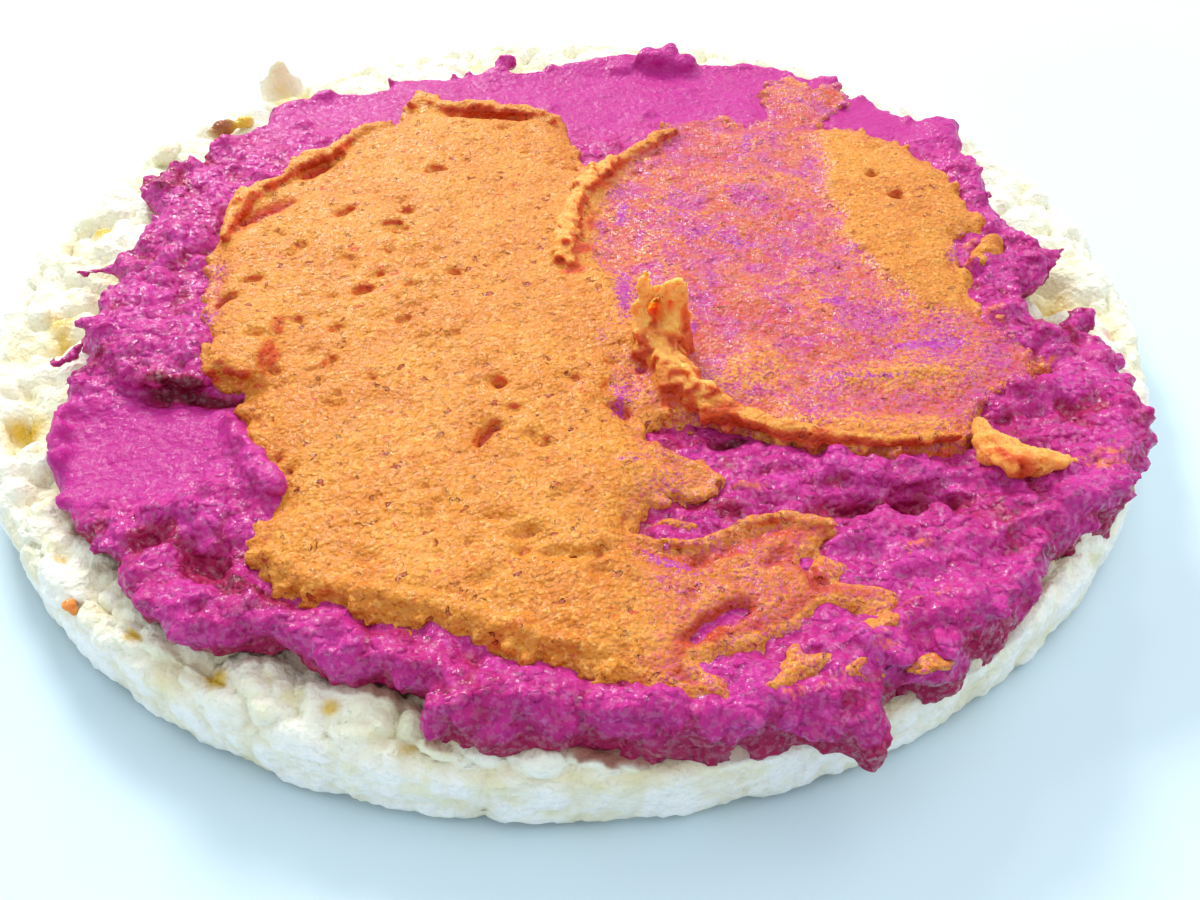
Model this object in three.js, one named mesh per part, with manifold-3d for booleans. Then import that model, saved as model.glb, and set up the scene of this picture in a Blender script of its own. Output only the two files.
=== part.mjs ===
// A thin puffed rice cake under a thick pink spread and a thinner orange spread, in millimetres.
// +Z is up, +X is to the viewer's right and +Y away. The origin is on the table under the middle.
import * as THREE from "three";
import { mergeVertices } from "three/addons/utils/BufferGeometryUtils.js";
import Module from "manifold-3d";

// Rice cake: a round of grains puffed and pressed together in a shallow mould.
const CAKE_RADIUS = 47.5;
const CAKE_TOP = 7.0;
const CAKE_VALLEY_DEPTH = 0.9;
const CAKE_SIDE_DEPTH = 0.55;
const CAKE_UPPER_ROUNDING = 1.9;
const CAKE_LOWER_ROUNDING = 1.4;
const CAKE_FLAT_RADIUS = 30;
const CAKE_UNDERSIDE_DEPTH = 0.4;
const PUFF_PITCH = 5.2;
const PUFF_REACH = 0.66 * PUFF_PITCH;

// Pink spread: knife-spread paste, raised in crags and dragged into ridges.
const GAP = 0.3;
const PINK_MEAN_RADIUS = 41;
const PINK_TOP = 9.1;
const PINK_UNDERSIDE = CAKE_TOP + GAP;
const PINK_SHOULDER = 1.6;
const PINK_SKIRT = 0.7;
const PINK_SWELL = 0.35;
const PINK_ROUGHNESS = 0.55;

// Orange spread: a firmer paste in two broad swaths.
const ORANGE_THICK = 1.05;
const ORANGE_THIN = 0.55;
const ORANGE_GRID = 3.1;

const FACE_SIZE = 2.4;

// The spread's edge, as its distance from the middle every five degrees, counterclockwise from +X.
const PINK_EDGE = [
  40.2, 38.4, 38.3, 38.8, 40.8, 42.4, 41.6, 40.2, 39.6, 40.0, 40.6, 39.6,
  38.8, 38.2, 36.6, 37.2, 36.0, 34.2, 34.6, 34.0, 36.0, 34.8, 34.6, 36.4,
  36.6, 39.2, 38.6, 38.2, 38.2, 39.0, 38.4, 38.2, 40.0, 38.6, 37.0, 37.6,
  37.8, 37.4, 38.2, 37.9, 38.7, 40.4, 42.6, 42.2, 43.2, 44.8, 44.2, 45.0,
  44.2, 43.6, 44.2, 45.6, 46.0, 45.9, 46.6, 46.8, 47.4, 46.4, 47.0, 47.2,
  47.0, 46.0, 46.0, 46.8, 47.2, 46.0, 46.6, 45.6, 44.4, 43.6, 41.6, 38.6,
];

// The orange's edge in plan: the left swath's far end, the bay between the swaths, the right swath,
// the scraped edge behind the flap, the tongues at the front and back up the left side.
const ORANGE_EDGE = [
  [-14, 27], [-11.5, 24], [-8.2, 24], [-3.2, 23], [0, 20], [0.6, 15.5], [1.8, 11.4], [5.4, 13],
  [8, 17.6], [10.6, 21.2], [15.4, 21.6], [16.6, 19.2], [19.4, 21], [20.4, 27], [22.4, 29],
  [25, 26.6], [27.6, 27.2], [27.6, 23.2], [24.6, 19.2], [28.6, 17.4], [31.6, 14.6], [34, 9.6],
  [34.8, 1.6], [31.8, -5], [32.6, -13.5], [31, -19.5], [26.4, -23.4], [19.8, -24.6], [13.6, -23],
  [8.6, -20.6], [5.6, -23.4], [9.4, -28], [4, -29.2], [4.6, -32.8], [10, -32.6], [15.4, -31.6],
  [18.6, -37], [15, -41], [8.6, -43], [1, -41.8], [-5, -39.8], [-12.6, -37.4], [-18.6, -34.8],
  [-20, -30], [-22.6, -20.4], [-25.8, -16], [-28.8, -6], [-29, 1.4], [-28.6, 8.4], [-25.4, 10.6],
  [-24, 14.4], [-20.8, 16.4], [-20.4, 20.2], [-16.2, 21.4],
];

// Crests and grooves in the pink's top: middle, direction in degrees, half length, half width, rise.
const PINK_RIDGES = [
  { at: [-33, -5], turn: 82, half: [13, 2.2], rise: 0.9 },
  { at: [-28.5, -13.5], turn: 8, half: [4.5, 1.6], rise: 1.3 },
  { at: [-28.5, -17.5], turn: 8, half: [5, 1.8], rise: -1.0 },
  { at: [-30.5, -24], turn: -50, half: [6, 4], rise: -0.35 },
  { at: [-22, -24], turn: 104, half: [5, 1.2], rise: 1.3 },
  { at: [-26.5, -31], turn: 20, half: [1.8, 1.5], rise: -1.1 },
  { at: [-18, -38], turn: -14, half: [9, 1.8], rise: 0.5 },
  { at: [-1, -43.6], turn: -4, half: [16, 1.6], rise: 0.7 },
  { at: [22, -29.3], turn: 6, half: [5.5, 1.1], rise: -1.5 },
  { at: [22.5, -32.6], turn: 10, half: [7, 1.7], rise: 0.9 },
  { at: [17, -27], turn: -8, half: [7, 1.5], rise: 0.5 },
  { at: [24, -37.8], turn: 36, half: [6, 1.6], rise: 0.6 },
  { at: [35.5, -15], turn: 12, half: [4, 1.0], rise: -0.9 },
  { at: [35.5, -18.5], turn: 22, half: [5, 1.3], rise: 0.9 },
  { at: [34, -23], turn: 15, half: [5, 1.2], rise: -0.8 },
  { at: [32, -31], turn: 40, half: [5, 1.6], rise: 0.7 },
  { at: [37, -10.5], turn: 70, half: [4, 1.4], rise: 0.8 },
  { at: [-32, 20], turn: 50, half: [8, 2], rise: 0.5 },
  { at: [-36, 12], turn: 80, half: [3, 2.2], rise: 0.8 },
  { at: [-25, 28], turn: 30, half: [3, 2], rise: 0.7 },
  { at: [-6, 33], turn: 0, half: [3, 2], rise: 0.9 },
  { at: [36, 18.5], turn: 80, half: [3.4, 2], rise: 1.0 },
  { at: [36, 9.5], turn: 90, half: [3, 1.8], rise: 0.8 },
  { at: [38, -24], turn: 60, half: [4, 2], rise: 0.7 },
];

// Lumps and shreds that stand out past the pink's edge: middle, half sizes, turn and tilt in degrees.
const PINK_LUMPS = [
  { at: [9.6, 32.8, 9.0], half: [3.8, 2.6, 2.3], turn: 0, tilt: 0 },
  { at: [5.8, 32.4, 8.8], half: [2.4, 2.2, 1.6], turn: 20, tilt: 0 },
  { at: [39.0, -2.4, 8.9], half: [3.6, 1.8, 1.1], turn: 50, tilt: -10 },
  { at: [40.9, -8.2, 8.5], half: [3.9, 1.3, 1.0], turn: 66, tilt: -6 },
  { at: [-31.6, -14.2, 9.2], half: [3.4, 2.0, 1.0], turn: 8, tilt: 0 },
  { at: [15.8, -44.3, 7.1], half: [1.7, 2.0, 2.7], turn: 15, tilt: 0 },
];

// Rolled ridges of the orange: route in plan with height above the pink, half width and half height.
const ORANGE_CURLS = [
  { route: [[6.2, -15, 1.4], [7.6, -18, 1.6], [10.6, -21, 1.5], [15, -23, 1.3], [20, -24, 1.2], [26, -24.4, 0.9]],
    half: [1.5, 1.3] },
  { route: [[5.2, 11.4, 1.2], [2.2, 9.2, 1.3], [1.8, 4, 1.3], [0.6, -1.6, 1.1], [-0.8, -4.4, 0.9]], half: [1.3, 0.8] },
  { route: [[-14, 25, 1.2], [-10, 23, 1.3], [-5.4, 22, 1.3], [-1.4, 20.4, 1.1]], half: [1.2, 0.7] },
  { route: [[-21, 15.6, 1.1], [-23.6, 13, 1.3], [-27.4, 8.6, 1.3], [-28, 3, 1.0]], half: [1.2, 0.7] },
  { route: [[-18.6, -34, 0.9], [-12.4, -36.4, 1.2], [-5, -38.8, 1.2], [1, -40.6, 1.0]], half: [1.4, 0.6] },
];

// The flap of orange that the knife pulled up on end: foot, width, thickness and rise.
const FLAP_FOOT = [7.4, -14.6];
const FLAP_WIDTH = 4.2;
const FLAP_THICKNESS = 1.6;
const FLAP_RISE = 5.6;
const FLAP_LEAN = 12;
const FLAP_SINK = 0.6;

// The small dab of orange that lies apart: foot, half sizes, turn and height.
const DAB_AT = [30.2, -27.0];
const DAB_HALF = [4.0, 1.9];
const DAB_TURN = -18;
const DAB_HEIGHT = 1.5;

const TAU = 2 * Math.PI;
const degrees = THREE.MathUtils.degToRad;
const clamp = THREE.MathUtils.clamp;
const smooth = THREE.MathUtils.smoothstep;
const wasm = await Module();
wasm.setup();

// A repeatable number from 0 to 1 for each square of a lattice.
function latticeValue(i, j, seed) {
  const wave = Math.sin(i * 127.1 + j * 311.7 + seed * 74.7) * 43758.5453;
  return wave - Math.floor(wave);
}

// Rolling unevenness from -1 to 1, with hills about one unit wide.
function roll(x, y, seed) {
  const i = Math.floor(x);
  const j = Math.floor(y);
  const u = smooth(x - i, 0, 1);
  const v = smooth(y - j, 0, 1);
  const near = THREE.MathUtils.lerp(latticeValue(i, j, seed), latticeValue(i + 1, j, seed), u);
  const far = THREE.MathUtils.lerp(latticeValue(i, j + 1, seed), latticeValue(i + 1, j + 1, seed), u);
  return 2 * THREE.MathUtils.lerp(near, far, v) - 1;
}

// Puffed grains side by side: 1 on a grain's crown, 0 in the creases between grains.
function puffs(x, y, seed) {
  const i = Math.floor(x / PUFF_PITCH);
  const j = Math.floor(y / PUFF_PITCH);
  let crown = 0;
  for (let di = -1; di <= 1; di++) {
    for (let dj = -1; dj <= 1; dj++) {
      const grainX = (i + di + 0.2 + 0.6 * latticeValue(i + di, j + dj, seed)) * PUFF_PITCH;
      const grainY = (j + dj + 0.2 + 0.6 * latticeValue(i + di, j + dj, seed + 9)) * PUFF_PITCH;
      const plumpness = 0.8 + 0.2 * latticeValue(i + di, j + dj, seed + 17);
      const offset = Math.hypot(x - grainX, y - grainY) / PUFF_REACH;
      crown = Math.max(crown, plumpness * (1 - offset * offset));
    }
  }
  return crown;
}

// A closed skin over rings of points that run from one pole to the other; a pole is a ring of one.
function skinOverRings(rings) {
  const positions = rings.flat(2);
  const faces = [];
  let start = 0;
  for (let k = 0; k + 1 < rings.length; k++) {
    const a = rings[k].length;
    const b = rings[k + 1].length;
    const next = start + a;
    let i = 0;
    let j = 0;
    while (i < (a > 1 ? a : 0) || j < (b > 1 ? b : 0)) {
      const stepFirst = j >= b || b === 1 || (a > 1 && i < a && (i + 1) / a <= (j + 1) / b);
      if (stepFirst) {
        faces.push(start + (i % a), next + (j % b), start + ((i + 1) % a));
        i++;
      } else {
        faces.push(start + (i % a), next + (j % b), next + ((j + 1) % b));
        j++;
      }
    }
    start = next;
  }
  const geometry = new THREE.BufferGeometry();
  geometry.setAttribute("position", new THREE.Float32BufferAttribute(positions, 3));
  geometry.setIndex(faces);
  return geometry;
}

// A ring of points, each placed by its angle.
function ringOf(count, place) {
  return Array.from({ length: count }, (_, k) => place((TAU * k) / count));
}

function toSolid(geometry) {
  const bare = geometry.clone();
  bare.deleteAttribute("normal");
  bare.deleteAttribute("uv");
  const merged = mergeVertices(bare, 1e-5);
  const mesh = new wasm.Mesh({
    numProp: 3,
    vertProperties: new Float32Array(merged.attributes.position.array),
    triVerts: new Uint32Array(merged.index.array),
  });
  return new wasm.Manifold(mesh);
}

function toGeometry(solid) {
  const mesh = solid.getMesh();
  const geometry = new THREE.BufferGeometry();
  geometry.setAttribute("position", new THREE.BufferAttribute(mesh.vertProperties, 3));
  geometry.setIndex(new THREE.BufferAttribute(mesh.triVerts, 1));
  return geometry;
}

// A bump or groove of a long round shape.
function ridgeRise(ridge, x, y) {
  const turn = degrees(ridge.turn);
  const dx = x - ridge.at[0];
  const dy = y - ridge.at[1];
  const along = (dx * Math.cos(turn) + dy * Math.sin(turn)) / ridge.half[0];
  const across = (dy * Math.cos(turn) - dx * Math.sin(turn)) / ridge.half[1];
  return ridge.rise * Math.exp(-(along ** 4) - across ** 2);
}

// The cake's top: puffs at full relief where they show, pressed flatter under the spread.
function cakeTop(x, y) {
  const shown = smooth(Math.hypot(x, y), 30, 37);
  const depth = CAKE_VALLEY_DEPTH * (0.35 + 0.65 * shown);
  return CAKE_TOP - depth * (1 - puffs(x, y, 1));
}

function cakeSideRadius(angle, z) {
  return CAKE_RADIUS - CAKE_SIDE_DEPTH * (1 - puffs(angle * CAKE_RADIUS, z + 40, 2));
}

function buildCake() {
  const rings = [[[0, 0, cakeTop(0, 0)]]];
  const topRadii = [10, 20, 28, 33, 36, 38, 39.6, 41.2, 42.8, 44.2, 45.4];
  for (const radius of topRadii) {
    const count = Math.round((TAU * radius) / (radius < 35 ? 1.8 * FACE_SIZE : FACE_SIZE));
    rings.push(ringOf(count, (angle) => {
      const x = radius * Math.cos(angle);
      const y = radius * Math.sin(angle);
      const edgeDrop = 0.25 * smooth(radius, 43, 45.4);
      return [x, y, cakeTop(x, y) - edgeDrop];
    }));
  }
  // Round the upper edge, down the side and round the lower edge: inset from the rim and height.
  const upper = CAKE_TOP - 0.7 * CAKE_VALLEY_DEPTH;
  const sideProfile = [
    [0.35 * CAKE_UPPER_ROUNDING, upper - 0.18 * CAKE_UPPER_ROUNDING],
    [0.08 * CAKE_UPPER_ROUNDING, upper - 0.55 * CAKE_UPPER_ROUNDING],
    [0, upper - CAKE_UPPER_ROUNDING],
    [0, 0.4 * CAKE_TOP],
    [0.05 * CAKE_LOWER_ROUNDING, CAKE_LOWER_ROUNDING],
    [0.4 * CAKE_LOWER_ROUNDING, 0.42 * CAKE_LOWER_ROUNDING],
    [CAKE_LOWER_ROUNDING, 0.12 * CAKE_LOWER_ROUNDING],
  ];
  const rimCount = Math.round((TAU * CAKE_RADIUS) / FACE_SIZE);
  for (const [inset, z] of sideProfile) {
    rings.push(ringOf(rimCount, (angle) => {
      const radius = cakeSideRadius(angle, z) - inset;
      const lift = 0.35 * roll(angle * 9, z, 3) * smooth(z, 0.5, 5);
      return [radius * Math.cos(angle), radius * Math.sin(angle), z + lift];
    }));
  }
  for (const radius of [43, 39, 35]) {
    rings.push(ringOf(Math.round((TAU * radius) / (1.8 * FACE_SIZE)), (angle) => {
      const x = radius * Math.cos(angle);
      const y = radius * Math.sin(angle);
      return [x, y, CAKE_UNDERSIDE_DEPTH * (1 - puffs(x, y, 4))];
    }));
  }
  rings.push(ringOf(24, (angle) => [CAKE_FLAT_RADIUS * Math.cos(angle), CAKE_FLAT_RADIUS * Math.sin(angle), 0]));
  rings.push([[0, 0, 0]]);
  return skinOverRings(rings);
}

// The orange's edge as a smooth closed line, and how far a point is inside it.
const orangeLine = new THREE.CatmullRomCurve3(
  ORANGE_EDGE.map(([x, y]) => new THREE.Vector3(x, y, 0)), true, "centripetal",
);
const orangePoints = orangeLine.getPoints(2 * ORANGE_EDGE.length).slice(0, -1);

function depthInOrange(x, y) {
  let inside = false;
  let nearest = Infinity;
  for (let k = 0; k < orangePoints.length; k++) {
    const a = orangePoints[k];
    const b = orangePoints[(k + 1) % orangePoints.length];
    const dx = b.x - a.x;
    const dy = b.y - a.y;
    const share = clamp(((x - a.x) * dx + (y - a.y) * dy) / (dx * dx + dy * dy), 0, 1);
    nearest = Math.min(nearest, Math.hypot(x - a.x - share * dx, y - a.y - share * dy));
    if (a.y > y !== b.y > y && x < ((b.x - a.x) * (y - a.y)) / (b.y - a.y) + a.x) inside = !inside;
  }
  return inside ? nearest : -nearest;
}

// The pink's top: a slow swell everywhere, and crags, ridges and grooves clear of the orange.
function pinkTop(x, y) {
  const swell = PINK_SWELL * roll(x / 15, y / 15, 5);
  const open = smooth(-depthInOrange(x, y), 0.6, 3.2);
  const smeared = smooth(y, 14, 24) * smooth(x, -24, -14);
  const rough = PINK_ROUGHNESS * (1 - 0.75 * smeared);
  const crags = rough * (0.7 * roll(x / 4.3, y / 3.4, 6) + 0.3 * roll(x / 2.4, y / 2.0, 7));
  const ridges = PINK_RIDGES.reduce((sum, ridge) => sum + ridgeRise(ridge, x, y), 0);
  return PINK_TOP + swell + open * (crags + ridges);
}

function pinkEdgeRadius(angle) {
  const place = (((angle / TAU) % 1) + 1) % 1 * PINK_EDGE.length;
  const k = Math.floor(place);
  const pick = (n) => PINK_EDGE[(n + PINK_EDGE.length) % PINK_EDGE.length];
  const share = smooth(place - k, 0, 1);
  const crumble = 0.35 * roll(angle * 23, 0, 8);
  return THREE.MathUtils.lerp(pick(k), pick(k + 1), share) + crumble;
}

// A rounded shred of paste, its skin pushed in and out a little.
function shred({ at, half, turn, tilt }) {
  const ball = new THREE.IcosahedronGeometry(1, 1);
  const spots = ball.attributes.position;
  for (let k = 0; k < spots.count; k++) {
    const spot = new THREE.Vector3().fromBufferAttribute(spots, k);
    spot.multiplyScalar(1 + 0.16 * roll(1.7 * spot.x + at[0], 1.7 * (spot.y + spot.z), 10));
    spots.setXYZ(k, spot.x, spot.y, spot.z);
  }
  ball.scale(...half);
  ball.rotateY(degrees(tilt));
  ball.rotateZ(degrees(turn));
  ball.translate(...at);
  return ball;
}

function buildPink(cake) {
  const ringAt = (share, height, inset = 0) => {
    const count = Math.max(8, Math.round((TAU * share * PINK_MEAN_RADIUS) / FACE_SIZE));
    return ringOf(count, (angle) => {
      const radius = share * (pinkEdgeRadius(angle) - inset);
      const x = radius * Math.cos(angle);
      const y = radius * Math.sin(angle);
      return [x, y, height(x, y)];
    });
  };
  const rings = [[[0, 0, pinkTop(0, 0)]]];
  const steps = Math.round(PINK_MEAN_RADIUS / FACE_SIZE);
  for (let k = 1; k <= steps; k++) rings.push(ringAt(k / steps, pinkTop, PINK_SHOULDER));
  const underside = (x, y) => PINK_UNDERSIDE - PINK_SKIRT - 0.4 * smooth(Math.hypot(x, y), 45, 47);
  const between = (share) => (x, y) => THREE.MathUtils.lerp(underside(x, y), pinkTop(x, y), share);
  rings.push(ringAt(1, between(0.72), 0.35 * PINK_SHOULDER));
  rings.push(ringAt(1, between(0.3)));
  rings.push(ringAt(1, underside, 0.3 * PINK_SHOULDER));
  for (const share of [0.94, 0.8, 0.5, 0.25]) rings.push(ringAt(share, () => PINK_UNDERSIDE, PINK_SHOULDER));
  rings.push([[0, 0, PINK_UNDERSIDE]]);
  let spread = toSolid(skinOverRings(rings));
  for (const lump of PINK_LUMPS) spread = spread.add(toSolid(shred(lump)));
  const clearance = cake.clone();
  const grow = 1 + GAP / CAKE_RADIUS;
  clearance.scale(grow, grow, 1);
  clearance.translate(0, 0, GAP);
  return toGeometry(spread.subtract(toSolid(clearance)));
}

// A rolled ridge that tapers to both ends.
function curl(route, half) {
  const line = new THREE.CatmullRomCurve3(route.map(([x, y, up]) => new THREE.Vector3(x, y, pinkTop(x, y) + up)));
  const steps = Math.max(6, Math.round(line.getLength() / FACE_SIZE));
  const sides = 6;
  const up = new THREE.Vector3(0, 0, 1);
  const rings = [[line.getPointAt(0).toArray()]];
  for (let k = 1; k < steps; k++) {
    const share = k / steps;
    const middle = line.getPointAt(share);
    const side = line.getTangentAt(share).cross(up).normalize();
    const swell = Math.sqrt(Math.sin(Math.PI * share)) * (1 + 0.18 * roll(share * steps * 0.5, half[0], 11));
    rings.push(ringOf(sides, (angle) => {
      const point = middle.clone().addScaledVector(side, half[0] * swell * Math.cos(angle));
      point.addScaledVector(up, half[1] * swell * Math.sin(angle));
      point.z = Math.max(point.z, pinkTop(point.x, point.y) + GAP);
      return point.toArray();
    }));
  }
  rings.push([line.getPointAt(1).toArray()]);
  return skinOverRings(rings);
}

// How thick the orange lies: full in the left swath, scraped thin on the right but for its far patch.
function orangeThickness(x, y) {
  const right = smooth(x, 4, 9) * smooth(y, -26, -20);
  const patch = smooth(x, 22.5, 26) * (1 - smooth(y, 16, 19)) * smooth(y, -9, -5);
  const share = 1 - right * (1 - 0.8 * patch);
  return ORANGE_THIN + (ORANGE_THICK - ORANGE_THIN) * share + 0.2 * roll(x / 4.4, y / 3.6, 12);
}

// A plate that follows the pink's top, as rows of a square grid, above and below.
function orangeBlanket() {
  const low = new THREE.Vector2(-32, -46);
  const across = Math.ceil(70 / ORANGE_GRID);
  const deep = Math.ceil(78 / ORANGE_GRID);
  const positions = [];
  const faces = [];
  const upper = (i, j) => i * (deep + 1) + j;
  const lower = (i, j) => (across + 1) * (deep + 1) + upper(i, j);
  for (const raise of [1, 0]) {
    for (let i = 0; i <= across; i++) {
      for (let j = 0; j <= deep; j++) {
        const x = low.x + i * ORANGE_GRID;
        const y = low.y + j * ORANGE_GRID;
        positions.push(x, y, pinkTop(x, y) + GAP + raise * orangeThickness(x, y));
      }
    }
  }
  const quad = (a, b, c, d) => faces.push(a, b, c, a, c, d);
  for (let i = 0; i < across; i++) {
    for (let j = 0; j < deep; j++) {
      quad(upper(i, j), upper(i + 1, j), upper(i + 1, j + 1), upper(i, j + 1));
      quad(lower(i, j), lower(i, j + 1), lower(i + 1, j + 1), lower(i + 1, j));
    }
    quad(lower(i, 0), lower(i + 1, 0), upper(i + 1, 0), upper(i, 0));
    quad(lower(i + 1, deep), lower(i, deep), upper(i, deep), upper(i + 1, deep));
  }
  for (let j = 0; j < deep; j++) {
    quad(lower(across, j), lower(across, j + 1), upper(across, j + 1), upper(across, j));
    quad(lower(0, j + 1), lower(0, j), upper(0, j), upper(0, j + 1));
  }
  const geometry = new THREE.BufferGeometry();
  geometry.setAttribute("position", new THREE.Float32BufferAttribute(positions, 3));
  geometry.setIndex(faces);
  return geometry;
}

// The torn flap, an upright plate with a ragged top.
function buildFlap() {
  const w = FLAP_WIDTH / 2;
  const h = FLAP_RISE + FLAP_SINK;
  const outline = new THREE.Shape();
  outline.moveTo(-1.1 * w, 0);
  outline.lineTo(1.3 * w, 0);
  outline.lineTo(1.05 * w, 0.45 * h);
  outline.lineTo(w, 0.93 * h);
  outline.lineTo(0.55 * w, 0.86 * h);
  outline.lineTo(0.2 * w, 0.97 * h);
  outline.lineTo(-0.3 * w, 0.88 * h);
  outline.lineTo(-0.75 * w, h);
  outline.lineTo(-w, 0.6 * h);
  const plate = new THREE.ExtrudeGeometry(outline, {
    depth: 0.5 * FLAP_THICKNESS,
    bevelEnabled: true,
    bevelThickness: 0.25 * FLAP_THICKNESS,
    bevelSize: 0.3,
    bevelSegments: 2,
  });
  plate.translate(0, 0, -0.25 * FLAP_THICKNESS);
  plate.rotateX(degrees(90 + FLAP_LEAN));
  const foot = pinkTop(...FLAP_FOOT) + GAP + ORANGE_THIN;
  plate.translate(...FLAP_FOOT, foot - FLAP_SINK + 0.3);
  return plate;
}

function buildOrange() {
  const outline = new THREE.Shape(orangePoints.map((point) => new THREE.Vector2(point.x, point.y)));
  const cutter = new THREE.ExtrudeGeometry(outline, { depth: 12, bevelEnabled: false });
  cutter.translate(0, 0, 4);
  let spread = toSolid(orangeBlanket()).intersect(toSolid(cutter));
  for (const { route, half } of ORANGE_CURLS) spread = spread.add(toSolid(curl(route, half)));
  return toGeometry(spread.add(toSolid(buildFlap())));
}

// The dab: a low torn heap on its own foot.
function buildDab() {
  const turn = degrees(DAB_TURN);
  const count = 22;
  const ring = (share, up) => ringOf(count, (angle) => {
    const ragged = 1 + 0.16 * roll(angle * 2.6, share * 3, 13);
    const along = share * ragged * DAB_HALF[0] * Math.cos(angle);
    const across = share * ragged * DAB_HALF[1] * Math.sin(angle);
    const x = DAB_AT[0] + along * Math.cos(turn) - across * Math.sin(turn);
    const y = DAB_AT[1] + along * Math.sin(turn) + across * Math.cos(turn);
    const lump = 1 + 0.3 * roll(x / 1.6, y / 1.6, 14);
    return [x, y, pinkTop(x, y) + GAP + up * lump];
  });
  const crown = pinkTop(...DAB_AT) + GAP + DAB_HEIGHT;
  const foot = pinkTop(...DAB_AT) + GAP;
  return skinOverRings([
    [[...DAB_AT, crown]],
    ring(0.4, 0.95 * DAB_HEIGHT),
    ring(0.8, 0.6 * DAB_HEIGHT),
    ring(1, 0.2 * DAB_HEIGHT),
    ring(0.94, 0),
    ring(0.5, 0),
    [[...DAB_AT, foot]],
  ]);
}

// What a piece lies on, raised by the gap and taken out of it.
function clearOf(piece, carrier) {
  const raised = carrier.clone();
  raised.translate(0, 0, GAP);
  return toGeometry(toSolid(piece).subtract(toSolid(raised)));
}

const riceFinish = new THREE.MeshStandardMaterial({ color: 0xf3edd4, roughness: 0.85, metalness: 0 });
const pinkFinish = new THREE.MeshStandardMaterial({ color: 0xcc4ba3, roughness: 0.45, metalness: 0 });
const orangeFinish = new THREE.MeshStandardMaterial({ color: 0xe8984f, roughness: 0.55, metalness: 0 });

function named(name, geometry, material) {
  const mesh = new THREE.Mesh(geometry, material);
  mesh.name = name;
  return mesh;
}

const cakeShape = buildCake();
const pinkShape = buildPink(cakeShape);
const model = new THREE.Group();
model.add(
  named("rice_cake", cakeShape, riceFinish),
  named("pink_spread", pinkShape, pinkFinish),
  named("orange_spread", buildOrange(), orangeFinish),
  named("orange_dab", clearOf(buildDab(), pinkShape), orangeFinish),
);

export default model;
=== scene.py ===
import math

import bpy
import numpy as np
from mathutils import Euler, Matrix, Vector


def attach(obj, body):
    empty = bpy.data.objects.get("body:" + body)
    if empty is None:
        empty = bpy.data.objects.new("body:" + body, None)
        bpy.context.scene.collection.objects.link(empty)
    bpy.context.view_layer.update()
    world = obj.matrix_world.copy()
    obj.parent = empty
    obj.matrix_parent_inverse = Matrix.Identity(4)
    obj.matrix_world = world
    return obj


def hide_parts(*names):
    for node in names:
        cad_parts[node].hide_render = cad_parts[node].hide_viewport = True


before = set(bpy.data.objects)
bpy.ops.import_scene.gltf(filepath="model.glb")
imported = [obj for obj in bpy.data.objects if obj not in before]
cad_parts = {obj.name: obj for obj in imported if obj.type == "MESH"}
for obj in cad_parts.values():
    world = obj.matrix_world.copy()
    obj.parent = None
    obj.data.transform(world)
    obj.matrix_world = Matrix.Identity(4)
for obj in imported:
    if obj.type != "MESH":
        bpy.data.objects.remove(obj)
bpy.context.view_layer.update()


# The rice cake.
# Whole rice grains puffed and pressed together in a round mould, so the crowns of the puffs
# lie flush with the mould and the creases between them stay open, glassy, yellowish and painted darker as
# shade.

MM = 0.001
CAKE_RADIUS = 47.4
CAKE_TOP = 7.0
UPPER_ROUNDING = 2.3
LOWER_ROUNDING = 0.6
TOP_STEP = 0.37
WALL_STEP = 0.35
UNDERSIDE_STEP = 0.62
GRAIN_PITCH = 4.9
LOBE_PITCH = 2.05
FULL_RELIEF_FROM = 30.0

# Open hollows in the rim where a grain burst: middle in plan, reach and depth.
HOLLOWS = [
    ((-40.6, -7.4), 1.6, 1.2), ((-40.6, -17.0), 2.2, 1.7), ((-21.8, -39.9), 1.3, 0.8),
    ((-14.1, -42.5), 0.9, 0.5), ((-9.8, -45.4), 0.8, 0.4), ((40.6, -4.2), 1.9, 1.2),
    ((38.4, -8.2), 1.7, 1.1), ((41.6, -9.6), 1.0, 0.8), ((-41.6, 8.4), 1.5, 0.7),
    ((-33.4, -30.4), 0.9, 0.5), ((-27.4, -36.8), 0.9, 0.4), ((-34.6, 25.4), 1.5, 0.9),
    ((-12.6, -45.1), 2.0, 0.08), ((-30.1, -35.0), 1.6, 0.08), ((6.8, -45.5), 1.2, 0.5),
    ((-41.6, -4.6), 1.8, 0.3),
]
# Where the pink has stained the puffs: middle, reach and strength.
STAINS = [
    ((41.6, -16.0), 2.6, 1.0), ((42.2, -20.4), 2.2, 0.9), ((40.4, 9.4), 2.2, 0.35),
    ((41.6, 12.2), 1.4, 0.3), ((43.4, -9.0), 0.7, 0.9), ((39.2, -8.6), 1.0, 0.8),
    ((-38.4, -12.6), 1.6, 0.35), ((-37.6, 4.6), 1.5, 0.3), ((-11.0, -44.9), 1.5, 0.35),
    ((41.0, -24.6), 1.4, 0.6), ((-34.6, -26.6), 1.2, 0.3),
]


NOISE_TURN = np.array(Euler((0.7, 0.4, 0.9)).to_matrix())


def lattice(i, j, k, seed):
    """A repeatable number from 0 to 1 for each corner of a lattice."""
    n = (i * 374761393 + j * 668265263 + k * 1442695041 + seed * 1274126177) & 0xFFFFFFFF
    n = ((n ^ (n >> 13)) * 1274126177) & 0xFFFFFFFF
    n = n ^ (n >> 16)
    return n / 4294967295.0


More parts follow.
